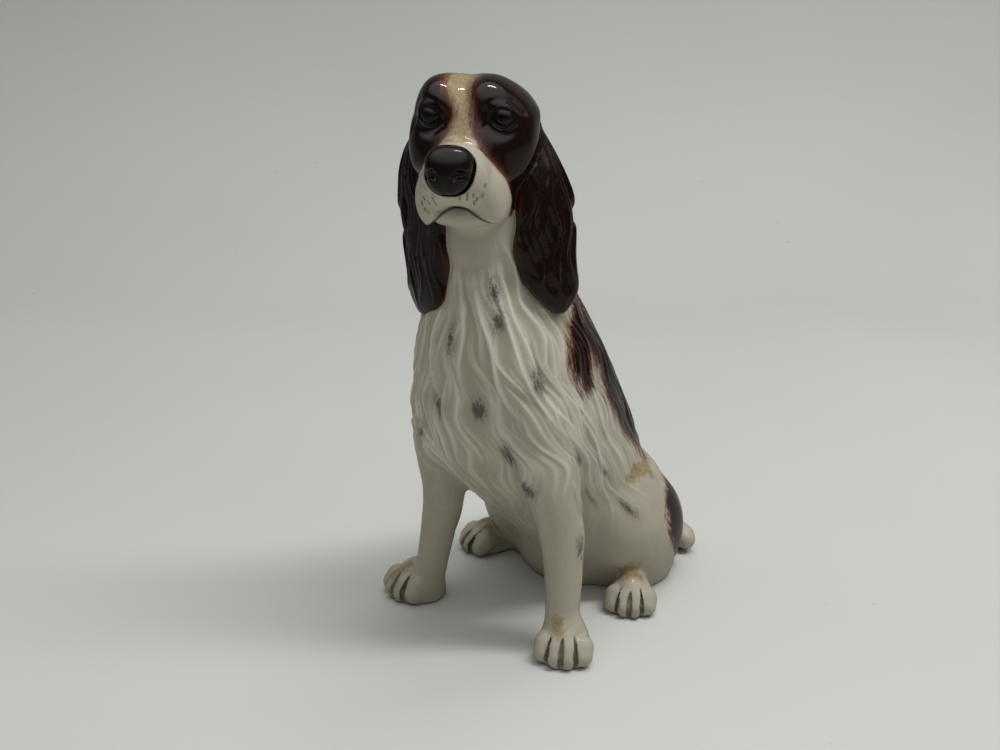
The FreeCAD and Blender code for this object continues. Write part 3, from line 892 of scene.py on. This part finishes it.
def spot_paint(points, covered):
    """Distance from the brushed spots, with none where head and ears cover the body."""
    turn, radius = body_chart(points)
    result = np.linalg.norm((points - WRIST_SPOT) / (1, 1, 1.8), axis=1) - 2.4
    for degrees, height, half_width, half_length in SPOTS:
        gap = (turn - math.radians(degrees) + math.pi) % (2 * math.pi) - math.pi
        reach = np.hypot(gap * radius / half_width, (points[:, 2] - height) / half_length)
        result = np.minimum(result, (reach - 1) * half_width)
    return np.where(covered < 1.5, FAR, np.minimum(result, FAR))


def paint_lines_and_foot_shade(points, local, skull):
    """Distance from the fine dark lines at the toes, the mouth and the whiskers, and from the painted shade
    along the foot.
    """
    # Painted contact shade: a dark band along the bottom where the figure stands on the floor
    result = np.minimum(points[:, 2] - 0.7, FAR)
    for side, places in itertools.product(SIDES, (FORE_PAWS, HIND_PAWS)):
        chosen = np.nonzero((points[:, 2] < TOE_ROOM) & (side * points[:, 0] > 20))[0]
        groove = groove_field(points[chosen], side, places[side]) - 0.1
        groove = np.maximum(groove, 1.2 - points[chosen, 2])
        result[chosen] = np.minimum(result[chosen], groove)
    mouth = np.abs(local[:, 2] - mouth_height(local) + 0.3) - 0.55
    mouth = np.where((local[:, 1] > 14) & (skull < 0.8), mouth, FAR)
    result = np.minimum(result, mouth)
    for side in SIDES:
        for across, rise, lean in WHISKERS[side]:
            x = side * local[:, 0] - across
            z = local[:, 2] - rise
            along = np.clip(x * lean + z, -0.6, 0.6)
            gap = np.hypot(x - along * lean * 0.6, z - along) - 0.22
            result = np.minimum(result, np.where(local[:, 1] > 20, gap, FAR))
    return result


def eye_paint(local):
    """Distance from the middle of the nearer eye, seen along the face."""
    sided = folded(leaned(local))
    gap = np.linalg.norm(sided - np.array(EYE), axis=1)
    reach = np.hypot(sided[:, 0] - EYE[0] - 0.4, sided[:, 2] - EYE[2])
    return np.where((gap < EYE_RADIUS + 2.6) & (local[:, 1] > EYE[1]), reach, 9.0)


def strand_chart(points, parts, local, skull):
    """Places that run with the hair of the coat, the skull and the ears."""
    strand = coat_strand(points)
    on_skull = np.minimum(skull, nearest(parts, "left_ear", "right_ear")) < 1.0
    strand[on_skull] = local[on_skull] / (1, 5, 5)
    for side, name in EARS:
        chosen = nearest(parts, name) < np.minimum(skull, 1.0)
        across, through, drop = ear_field(points[chosen], side)[1:]
        strand[chosen] = np.stack([across, through, drop / 14], 1)
    return strand


def paint(points, parts, coat):
    """Signed distances, in millimetres, from the edges of all that is painted."""
    local = to_head(points)
    skull = head_field(points)
    covered = np.minimum(skull, nearest(parts, "left_ear", "right_ear"))
    blaze = np.maximum(np.interp(local[:, 2], *BLAZE_TAN), off_head(skull))
    brown, fray = brown_paint(points, parts, local, skull)
    return {
        "brown": brown,
        "fray": fray,
        "tan": np.minimum(capsules(points, TAN_PATCHES), blaze),
        "spots": spot_paint(points, covered),
        "lines_and_foot_shade": paint_lines_and_foot_shade(points, local, skull),
        "nose": nose_field(local) - 0.9,
        "eye": eye_paint(local),
        # Fur height, which the glaze turns into painted shade in the hollows and a painted highlight on the
        # crests
        "relief": np.where(skull < 1.5, 0.2, coat),
        "strand": strand_chart(points, parts, local, skull),
    }


def vertex_normals(vertices, quads):
    diagonals = np.cross(vertices[quads[:, 2]] - vertices[quads[:, 0]],
                         vertices[quads[:, 3]] - vertices[quads[:, 1]])
    result = np.zeros_like(vertices)
    for corner in range(4):
        for axis in range(3):
            result[:, axis] += np.bincount(quads[:, corner], diagonals[:, axis], len(vertices))
    return result / np.maximum(np.linalg.norm(result, axis=1), 1e-12)[:, None]


def raised(vertices, normals, quads, heights):
    """Surface lifted by the heights, with normals that keep the smooth form's shading."""
    before = vertex_normals(vertices, quads)
    lifted = vertices + normals * heights[:, None]
    lifted[:, 2] = np.maximum(lifted[:, 2], 0.0)
    result = normals + vertex_normals(lifted, quads) - before
    return lifted, result / np.maximum(np.linalg.norm(result, axis=1), 1e-9)[:, None]


def grid_lines(low, high):
    count = int(math.ceil((high - low) / PITCH / COARSE_STEP)) * COARSE_STEP
    return low + PITCH * np.arange(count + 1)


def sampled_grid(lines):
    """Field values over the grid, exact only near the surface."""
    coarse = [line[::COARSE_STEP] for line in lines]
    mesh = np.stack(np.meshgrid(*coarse, indexing="ij"), -1)
    values = in_chunks(field, mesh.reshape(-1, 3)).reshape(mesh.shape[:3])
    corners = [values[i:i - 1 or None, j:j - 1 or None, k:k - 1 or None] for i, j, k in CORNERS]
    closest = np.min(np.abs(corners), 0)
    lowest, highest = np.min(corners, 0), np.max(corners, 0)
    active = (closest < 1.25 * PITCH * COARSE_STEP) | ((lowest < 0) & (highest > 0))
    for axis in range(3):
        lowest = np.repeat(lowest, COARSE_STEP, axis)
    dense = np.full([len(line) for line in lines], FAR, np.float32)
    dense[:-1, :-1, :-1] = lowest
    cells = np.argwhere(active) * COARSE_STEP
    marked = np.zeros(dense.shape, bool)
    for offset in itertools.product(range(COARSE_STEP + 1), repeat=3):
        marked[tuple((cells + offset).T)] = True
    places = np.stack([line[at] for line, at in zip(lines, np.nonzero(marked))], 1)
    dense[marked] = in_chunks(field, places)
    return dense


def surface_mesh(dense, lines):
    """Naive surface nets: one vertex in each cell that the surface crosses."""
    inside = dense < 0
    shape = np.array(dense.shape) - 1
    count = np.zeros(shape, np.int8)
    for i, j, k in CORNERS:
        count += inside[i:shape[0] + i, j:shape[1] + j, k:shape[2] + k]
    cells = np.argwhere((count > 0) & (count < 8))
    number = np.full(shape, -1, np.int32)
    number[tuple(cells.T)] = np.arange(len(cells))
    total = np.zeros((len(cells), 3))
    crossings = np.zeros(len(cells))
    for axis in range(3):
        for offset in itertools.product((0, 1), repeat=2):
            start = cells + np.insert(offset, axis, 0)
            end = start + np.insert((0, 0), axis, 1)
            a, b = dense[tuple(start.T)], dense[tuple(end.T)]
            cut = (a < 0) != (b < 0)
            place = start.astype(float)
            place[:, axis] += np.where(cut, a / np.where(cut, a - b, 1), 0)
            total[cut] += place[cut]
            crossings[cut] += 1
    origin = np.array([line[0] for line in lines])
    quads = []
    for axis in range(3):
        others = [n for n in range(3) if n != axis]
        edges = np.argwhere(np.diff(inside, axis=axis))
        edges = edges[((edges[:, others] > 0) & (edges[:, others] < shape[others])).all(1)]
        around = [edges - np.insert(offset, axis, 0) for offset in ((1, 1), (0, 1), (0, 0), (1, 0))]
        ring = np.stack([number[tuple(cell.T)] for cell in around], 1)
        flip = inside[tuple(edges.T)] == (axis == 1)
        ring[flip] = ring[flip][:, ::-1]
        quads.append(ring)
    return origin + total / crossings[:, None] * PITCH, np.concatenate(quads)


def evened(vertices, quads, rounds=3):
    """Vertices moved towards the middle of their neighbours."""
    first = quads.T.reshape(-1)
    second = np.roll(quads, -1, 1).T.reshape(-1)
    number = np.bincount(np.concatenate([first, second]), minlength=len(vertices))
    for _ in range(rounds):
        total = np.zeros_like(vertices)
        for axis in range(3):
            total[:, axis] += np.bincount(first, vertices[second, axis], len(vertices))
            total[:, axis] += np.bincount(second, vertices[first, axis], len(vertices))
        vertices = 0.5 * vertices + 0.5 * total / number[:, None]
    return vertices


def projected(vertices, rounds=2):
    """Vertices moved onto the field's surface, and the surface's normals there."""
    for _ in range(rounds):
        slope = gradient(lambda p: in_chunks(field, p), vertices)
        value = in_chunks(field, vertices)
        move = value / np.maximum((slope * slope).sum(1), 0.2)
        vertices = vertices - np.clip(move, -0.6, 0.6)[:, None] * slope
    slope = gradient(lambda p: in_chunks(field, p), vertices)
    return vertices, slope / np.linalg.norm(slope, axis=1)[:, None]


def placed(name, data):
    """New object of the scene with the given data."""
    item = bpy.data.objects.new(name, data)
    bpy.context.scene.collection.objects.link(item)
    return item


def build_piece(name, vertices, normals, quads, attributes, material):
    """Closed mesh of one casting, with the smooth normals of the whole figure."""
    used, local = np.unique(quads, return_inverse=True)
    faces = local.reshape(quads.shape)
    edges = np.stack([faces, np.roll(faces, -1, 1)], 2).reshape(-1, 2)
    base = len(used) + 1
    border = edges[~np.isin(edges @ (base, 1), edges @ (1, base))]
    centres, caps = border_caps(border, vertices[used], normals[used])
    points = np.concatenate([vertices[used], centres]) * MM
    mesh = bpy.data.meshes.new(name)
    mesh.from_pydata(points.tolist(), [], faces.tolist() + caps.tolist())
    mesh.polygons.foreach_set("use_smooth", [True] * len(mesh.polygons))
    for key, values in attributes.items():
        values = values[used]
        extra = np.repeat(values[:1], len(centres), 0)
        values = np.concatenate([values, extra]).astype(np.float32)
        kind, field_name = ("FLOAT", "value") if values.ndim == 1 else ("FLOAT_VECTOR", "vector")
        layer = mesh.attributes.new(key, kind, "POINT")
        layer.data.foreach_set(field_name, values.reshape(-1))
    first, second, third = (points[caps[:, n]] for n in range(3))
    flat = np.cross(second - first, third - first)
    flat /= np.maximum(np.linalg.norm(flat, axis=1), 1e-12)[:, None]
    corner_normals = np.concatenate([normals[used][faces.reshape(-1)], np.repeat(flat, 3, 0)])
    mesh.normals_split_custom_set(corner_normals.astype(np.float32))
    mesh.materials.append(material)
    return placed(name, mesh)


def border_caps(border, place, normals):
    """Fans that close each open rim towards a point inside the figure."""
    leader = {}

    def first_of(corner):
        while leader.setdefault(corner, corner) != corner:
            corner = leader[corner]
        return corner

    for start, end in border:
        leader[first_of(start)] = first_of(end)
    rims = {}
    for start, end in border:
        rims.setdefault(first_of(start), []).append((end, start))
    centres, caps = [], []
    for edges in rims.values():
        corners = [start for end, start in edges]
        number = len(place) + len(centres)
        centres.append(place[corners].mean(0) - 1.5 * normals[corners].mean(0))
        caps += [(end, start, number) for end, start in edges]
    return np.array(centres).reshape(-1, 3), np.array(caps, int).reshape(-1, 3)


def settled_labels(label, quads, count, rounds=4):
    """Castings of the faces after each takes the one that is commonest round it."""
    for _ in range(rounds):
        votes = np.zeros((count, len(PIECES)), np.int32)
        for corner in range(4):
            np.add.at(votes, (quads[:, corner], label), 1)
        label = np.argmax(votes[quads].sum(1), 1)
    return label


class Graph:
    """Short calls that lay out the nodes of a material or of the world."""

    def __init__(self, owner):
        owner.use_nodes = True
        self.tree = owner.node_tree

    def fill(self, node, inputs):
        """Gives a node's sockets their values or links."""
        for key, value in inputs.items():
            socket = node.inputs[key]
            if isinstance(value, bpy.types.NodeSocket):
                self.tree.links.new(value, socket)
            else:
                socket.default_value = (*value, 1) if socket.type == "RGBA" else value

    def add(self, kind, inputs, output=0, **settings):
        """One output of a new node with the given inputs and settings."""
        node = self.tree.nodes.new("ShaderNode" + kind)
        for key, value in settings.items():
            setattr(node, key, value)
        self.fill(node, inputs)
        return node.outputs[output]

    def attribute(self, name, output="Fac"):
        return self.add("Attribute", {}, output, attribute_name=name)

    def math(self, operation, first, second, third=0.0):
        return self.add("Math", {0: first, 1: second, 2: third}, operation=operation)

    def ramp(self, value, low, high, start=0.0, end=1.0):
        inputs = {"Value": value, "From Min": low, "From Max": high, "To Min": start, "To Max": end}
        return self.add("MapRange", inputs, "Result", interpolation_type="SMOOTHSTEP")

    def noise(self, place, scale, detail=2.0, rough=0.5):
        inputs = {"Vector": place, "Scale": scale, "Detail": detail, "Roughness": rough}
        return self.add("TexNoise", inputs, "Fac")

    def mix(self, share, first, second):
        return self.add("Mix", {0: share, 6: first, 7: second}, 2, data_type="RGBA")

    def bumps(self, sizes, fine, wash):
        """Fine bumps with broader ones over them."""
        inputs = dict(zip(("Distance", "Strength"), sizes["fine"]), Height=fine)
        under = self.add("Bump", inputs)
        inputs = dict(zip(("Distance", "Strength"), sizes["wash"]), Height=wash, Normal=under)
        return self.add("Bump", inputs)

    def shifted(self, value, texture, reach):
        """Value that a texture moves by up to half the reach either way."""
        swing = self.math("MULTIPLY", self.math("SUBTRACT", texture, 0.5), reach)
        return self.math("ADD", value, swing)


WHITE_HIGH = (0.66, 0.61, 0.51)
# Grey of the hollows between the locks: partly pooled glaze, partly painted shade
WHITE_POOLED_AND_SHADED = (0.455, 0.41, 0.322)
# Painted highlight on the crests of the locks
WHITE_PAINTED_HIGHLIGHT = (0.86, 0.82, 0.73)
WHITE_WASH = (0.37, 0.345, 0.285)
HAIR_GREY = (0.20, 0.18, 0.145)
HALO = (0.17, 0.15, 0.12)
TAN = (0.285, 0.19, 0.068)
LIVER_DEEP = (0.011, 0.0035, 0.0026)
LIVER_MID = (0.046, 0.012, 0.007)
LIVER_EDGE = (0.18, 0.066, 0.036)
# Dark of the fine lines and spots, also used for the painted shade along the foot
INK = (0.035, 0.030, 0.026)
NOSE_BLACK = (0.010, 0.0045, 0.004)
EYE_TONES = {
    "socket": (0.007, 0.0035, 0.0035), "iris": (0.014, 0.006, 0.004), "pupil": (0.002, 0.002, 0.002),
}
# Noise textures: scale, detail and roughness. The first two run with the hair
NOISES = {
    "fine": (2.0, 3.0, 0.6), "streak": (0.6, 2.0, 0.55), "wash": (55.0, 3.0, 0.55),
    "sponge": (330.0, 3.0, 0.6), "speck": (1100.0, 2.0, 0.6),
    "clouds": (2.2, 3.0), "dust": (130.0, 1.0),
}
# How far a texture moves each edge, in millimetres
SWINGS = {
    "crest": 0.35, "tan_sponge": 9.0, "tan_wash": 6.0, "halo": 4.0, "spot_fine": 8.0,
    "spot_sponge": 3.0, "liver_fine": 8.5, "liver_streak": 9.0, "deep": 1.6, "line": 0.6,
}
# Bumps of the body and of the glaze over it: distance in metres and strength
BODY_BUMPS = {"fine": (0.0002, 0.4), "wash": (0.0007, 0.35)}
GLAZE_BUMPS = {"fine": (0.00009, 0.3), "wash": (0.0003, 0.3)}
# Where each look begins and is full, and how strong it is there
RAMPS = {
    "crest": (-0.02, 0.62), "painted_highlight": (0.50, 0.95, 0.0, 0.6), "wash": (0.35, 0.75, 0.0, 0.4),
    "hair": (0.60, 0.70), "hair_rows": (0.45, 0.65, 0.0, 0.42),
    "tan": (2.2, -2.2), "grit": (0.36, 0.60, 0.5, 0.93),
    "spot": (0.8, -2.2, 0.0, 0.74), "halo": (2.6, -1.5, 0.0, 0.34),
    "worn": (0.56, 0.76), "worn_rows": (0.45, 0.7, 0.0, 0.4),
    "line": (0.45, -0.3, 0.0, 0.85), "nose": (0.4, -0.3),
    "socket": (6.6, 4.4), "iris": (3.5, 3.1), "pupil": (1.9, 1.6),
    "rough": (0.3, 0.7, 0.32, 0.46), "sky": (0.35, 0.95, WORLD_LOW, WORLD_HIGH),
    "clouds": (0.3, 0.7), "dust": (0.79, 0.83, 0.0, 0.25),
}


def ivory(graph, fine, streak, wash):
    """White body with fine hairs, greyer between the locks (pooled glaze and painted shade) and with a
    painted highlight on their crests.
    """
    height = graph.shifted(graph.attribute("relief"), fine, SWINGS["crest"])
    # Greyer low in the relief: partly pooled glaze, partly painted shade
    white = graph.mix(graph.ramp(height, *RAMPS["crest"]), WHITE_POOLED_AND_SHADED, WHITE_HIGH)
    white = graph.mix(graph.ramp(wash, *RAMPS["wash"]), white, WHITE_WASH)
    # Painted highlight along the crests of the locks
    white = graph.mix(graph.ramp(height, *RAMPS["painted_highlight"]), white, WHITE_PAINTED_HIGHLIGHT)
    rows = graph.ramp(streak, *RAMPS["hair_rows"])
    return graph.mix(graph.math("MULTIPLY", graph.ramp(fine, *RAMPS["hair"]), rows), white, HAIR_GREY)


def sponged(graph, colour, fine, wash, sponge, speck):
    """Tan sponged on in specks, then the brushed spots with their halo."""
    edge = graph.shifted(graph.attribute("tan"), sponge, SWINGS["tan_sponge"])
    edge = graph.shifted(edge, wash, SWINGS["tan_wash"])
    grit = graph.math("ADD", graph.math("MULTIPLY", speck, 0.55), graph.math("MULTIPLY", fine, 0.45))
    grit = graph.ramp(grit, *RAMPS["grit"])
    colour = graph.mix(graph.math("MULTIPLY", graph.ramp(edge, *RAMPS["tan"]), grit), colour, TAN)
    spots = graph.attribute("spots")
    halo = graph.ramp(graph.shifted(spots, wash, SWINGS["halo"]), *RAMPS["halo"])
    colour = graph.mix(halo, colour, HALO)
    edge = graph.shifted(graph.shifted(spots, fine, SWINGS["spot_fine"]), sponge, SWINGS["spot_sponge"])
    return graph.mix(graph.ramp(edge, *RAMPS["spot"]), colour, INK)


def patched(graph, colour, fine, streak, wash):
    """Liver patches: reddish at the frayed edge, darker inside, worn along the hair."""
    fray = graph.attribute("fray")
    swing = graph.shifted(0.0, fine, SWINGS["liver_fine"])
    swing = graph.shifted(swing, streak, SWINGS["liver_streak"])
    edge = graph.math("MULTIPLY_ADD", swing, fray, graph.attribute("brown"))
    width = graph.math("MULTIPLY_ADD", fray, 2.6, 0.35)
    covered = graph.ramp(edge, width, graph.math("MULTIPLY", width, -1.0))
    deep = graph.shifted(edge, fine, SWINGS["deep"])
    middle = graph.math("MULTIPLY_ADD", fray, -2.6, -2.2)
    liver = graph.mix(graph.ramp(deep, 0.6, middle), LIVER_EDGE, LIVER_MID)
    depth = graph.math("MULTIPLY_ADD", fray, -4.6, -3.4)
    liver = graph.mix(graph.ramp(deep, -1.2, depth), liver, LIVER_DEEP)
    rows = graph.ramp(wash, *RAMPS["worn_rows"])
    worn = graph.math("MULTIPLY", graph.ramp(streak, *RAMPS["worn"]), rows)
    return graph.mix(covered, colour, graph.mix(worn, liver, LIVER_MID))


def lined(graph, colour, sponge):
    """Fine lines and the painted shade along the foot, then the nose and the rings of the eyes."""
    line = graph.shifted(graph.attribute("lines_and_foot_shade"), sponge, SWINGS["line"])
    colour = graph.mix(graph.ramp(line, *RAMPS["line"]), colour, INK)
    colour = graph.mix(graph.ramp(graph.attribute("nose"), *RAMPS["nose"]), colour, NOSE_BLACK)
    eye = graph.attribute("eye")
    for ring, tone in EYE_TONES.items():
        colour = graph.mix(graph.ramp(eye, *RAMPS[ring]), colour, tone)
    return colour


def glaze(name):
    """Ivory glaze with the painter's liver patches, spots, tan sponging and fine lines."""
    material = bpy.data.materials.new(name)
    graph = Graph(material)
    strand = graph.attribute("strand", "Vector")
    place = graph.add("TexCoord", {}, "Object")
    fine, streak = (graph.noise(strand, *NOISES[key]) for key in ("fine", "streak"))
    wash, sponge, speck = (graph.noise(place, *NOISES[key]) for key in ("wash", "sponge", "speck"))
    colour = ivory(graph, fine, streak, wash)
    colour = sponged(graph, colour, fine, wash, sponge, speck)
    colour = patched(graph, colour, fine, streak, wash)
    graph.fill(graph.tree.nodes["Principled BSDF"], {
        "Base Color": lined(graph, colour, sponge),
        "Roughness": graph.ramp(wash, *RAMPS["rough"]),
        "Normal": graph.bumps(BODY_BUMPS, fine, wash),
        "Specular IOR Level": 0.0,
        "Coat Weight": 1.0,
        "Coat Roughness": 0.05,
        "Coat IOR": 1.5,
        "Coat Normal": graph.bumps(GLAZE_BUMPS, fine, wash),
    })
    return material


def build_figure():
    lines = [grid_lines(GRID_LOW[axis], GRID_HIGH[axis]) for axis in range(3)]
    dense = sampled_grid(lines)
    vertices, quads = surface_mesh(dense, lines)
    vertices = evened(vertices, quads)
    vertices, normals = projected(vertices)
    parts = in_chunks(lambda p: field(p, True), vertices)
    heights, coat = relief(vertices, parts)
    attributes = paint(vertices, parts, coat)
    centres = vertices[quads].mean(1)
    label = np.argmin(in_chunks(lambda p: field(p, True), centres), 1)
    label = settled_labels(label, quads, len(vertices))
    upper = centres[:, 2] > TORSO_CUT
    vertices, normals = raised(vertices, normals, quads, heights)
    glazes = {slot: glaze(slot) for slot in ("body_glaze", "head_glaze", "ear_glaze")}
    for number, name in enumerate(PIECES):
        slot = SLOTS.get(name, "body_glaze")
        chosen = label == number
        shares = {name + "_form": chosen}
        if name == "torso_casting":
            shares = {name + "_lower": chosen & ~upper, name + "_upper": chosen & upper}
        for title, faces in shares.items():
            piece = build_piece(title, vertices, normals, quads[faces], attributes, glazes[slot])
            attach(piece, "root")
            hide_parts(name)


def add_lamp(name, place, target, watts, size, mirrored):
    """Lamp whose long side lies across the camera's view."""
    data = bpy.data.lights.new(name, "AREA")
    data.energy = watts
    data.shape = "RECTANGLE"
    data.size, data.size_y = size
    lamp = placed(name, data)
    lamp.location = place
    lamp.visible_glossy = mirrored
    back = (Vector(place) - Vector(target)).normalized()
    angle = math.radians(CAMERA_TURN)
    side = Vector((math.cos(angle), math.sin(angle), 0))
    side = (side - side.dot(back) * back).normalized()
    lamp.rotation_euler = Matrix((side, back.cross(side), back)).transposed().to_euler()


def sheet_material():
    """Pale grey with faint clouds and dust, with a painted darker reflection where the glaze mirrors it."""
    material = bpy.data.materials.new("studio_sheet")
    graph = Graph(material)
    place = graph.add("TexCoord", {}, "Object")
    clouds = graph.ramp(graph.noise(place, *NOISES["clouds"]), *RAMPS["clouds"])
    dust = graph.ramp(graph.noise(place, *NOISES["dust"]), *RAMPS["dust"])
    mirrored = graph.add("LightPath", {}, "Is Glossy Ray")
    colour = graph.mix(dust, graph.mix(clouds, *SHEET_TONES), SHEET_DUST)
    # Painted reflection: the sheet turns darker where the glaze mirrors it
    colour = graph.mix(graph.math("MULTIPLY", mirrored, 0.7), colour, SHEET_PAINTED_REFLECTION)
    inputs = {"Base Color": colour, "Roughness": 0.5, "Specular IOR Level": 0.25}
    graph.fill(graph.tree.nodes["Principled BSDF"], inputs)
    return material


def build_sheet():
    """Pale sheet: flat under the figure, then swept up behind it."""
    angle = math.radians(CAMERA_TURN)
    profile = [(along, 0.0) for along in (*SHEET_FRONT, SHEET_FOLD)]
    for turn in np.linspace(0, math.pi / 2, 17)[1:]:
        profile.append((SHEET_FOLD + SHEET_BEND * math.sin(turn), SHEET_BEND * (1 - math.cos(turn))))
    profile.append((SHEET_FOLD + SHEET_BEND, SHEET_TOP))
    points = []
    for across in (-SHEET_HALF, SHEET_HALF):
        for along, height in profile:
            points.append((across * math.cos(angle) - along * math.sin(angle),
                           across * math.sin(angle) + along * math.cos(angle), height))
    count = len(profile)
    faces = [(n, n + count, n + count + 1, n + 1) for n in range(count - 1)]
    mesh = bpy.data.meshes.new("studio_sheet")
    mesh.from_pydata(points, [], faces)
    mesh.polygons.foreach_set("use_smooth", [True] * len(faces))
    mesh.materials.append(sheet_material())
    sheet = placed("studio_sheet", mesh)


def build_light():
    """Even light from above that falls off towards the front, and lamps above and behind."""
    world = bpy.data.worlds.new("studio")
    bpy.context.scene.world = world
    graph = Graph(world)
    direction = graph.add("TexCoord", {}, "Generated")
    sky = graph.ramp(graph.add("SeparateXYZ", {0: direction}, 2), *RAMPS["sky"])
    camera_ray = graph.add("LightPath", {}, "Is Camera Ray")
    strength = graph.add("Mix", {"Factor": camera_ray, "A": sky, "B": WORLD_SEEN}, "Result")
    graph.fill(graph.tree.nodes["Background"], {0: WORLD_TINT, 1: strength})
    for name, settings in LAMPS.items():
        add_lamp(name, *settings)


def build_camera():
    data = bpy.data.cameras.new("camera")
    data.sensor_width = SENSOR_WIDTH
    data.lens = CAMERA_LENS
    data.clip_start = 0.01
    camera = placed("camera", data)
    camera.location = Vector(CAMERA_PLACE) * MM
    camera.rotation_euler = Euler((math.radians(90 - CAMERA_PITCH), 0, math.radians(CAMERA_TURN)))
    bpy.context.scene.camera = camera


build_camera()
build_sheet()
build_light()
build_figure()
bpy.context.scene.view_settings.view_transform = "Standard"
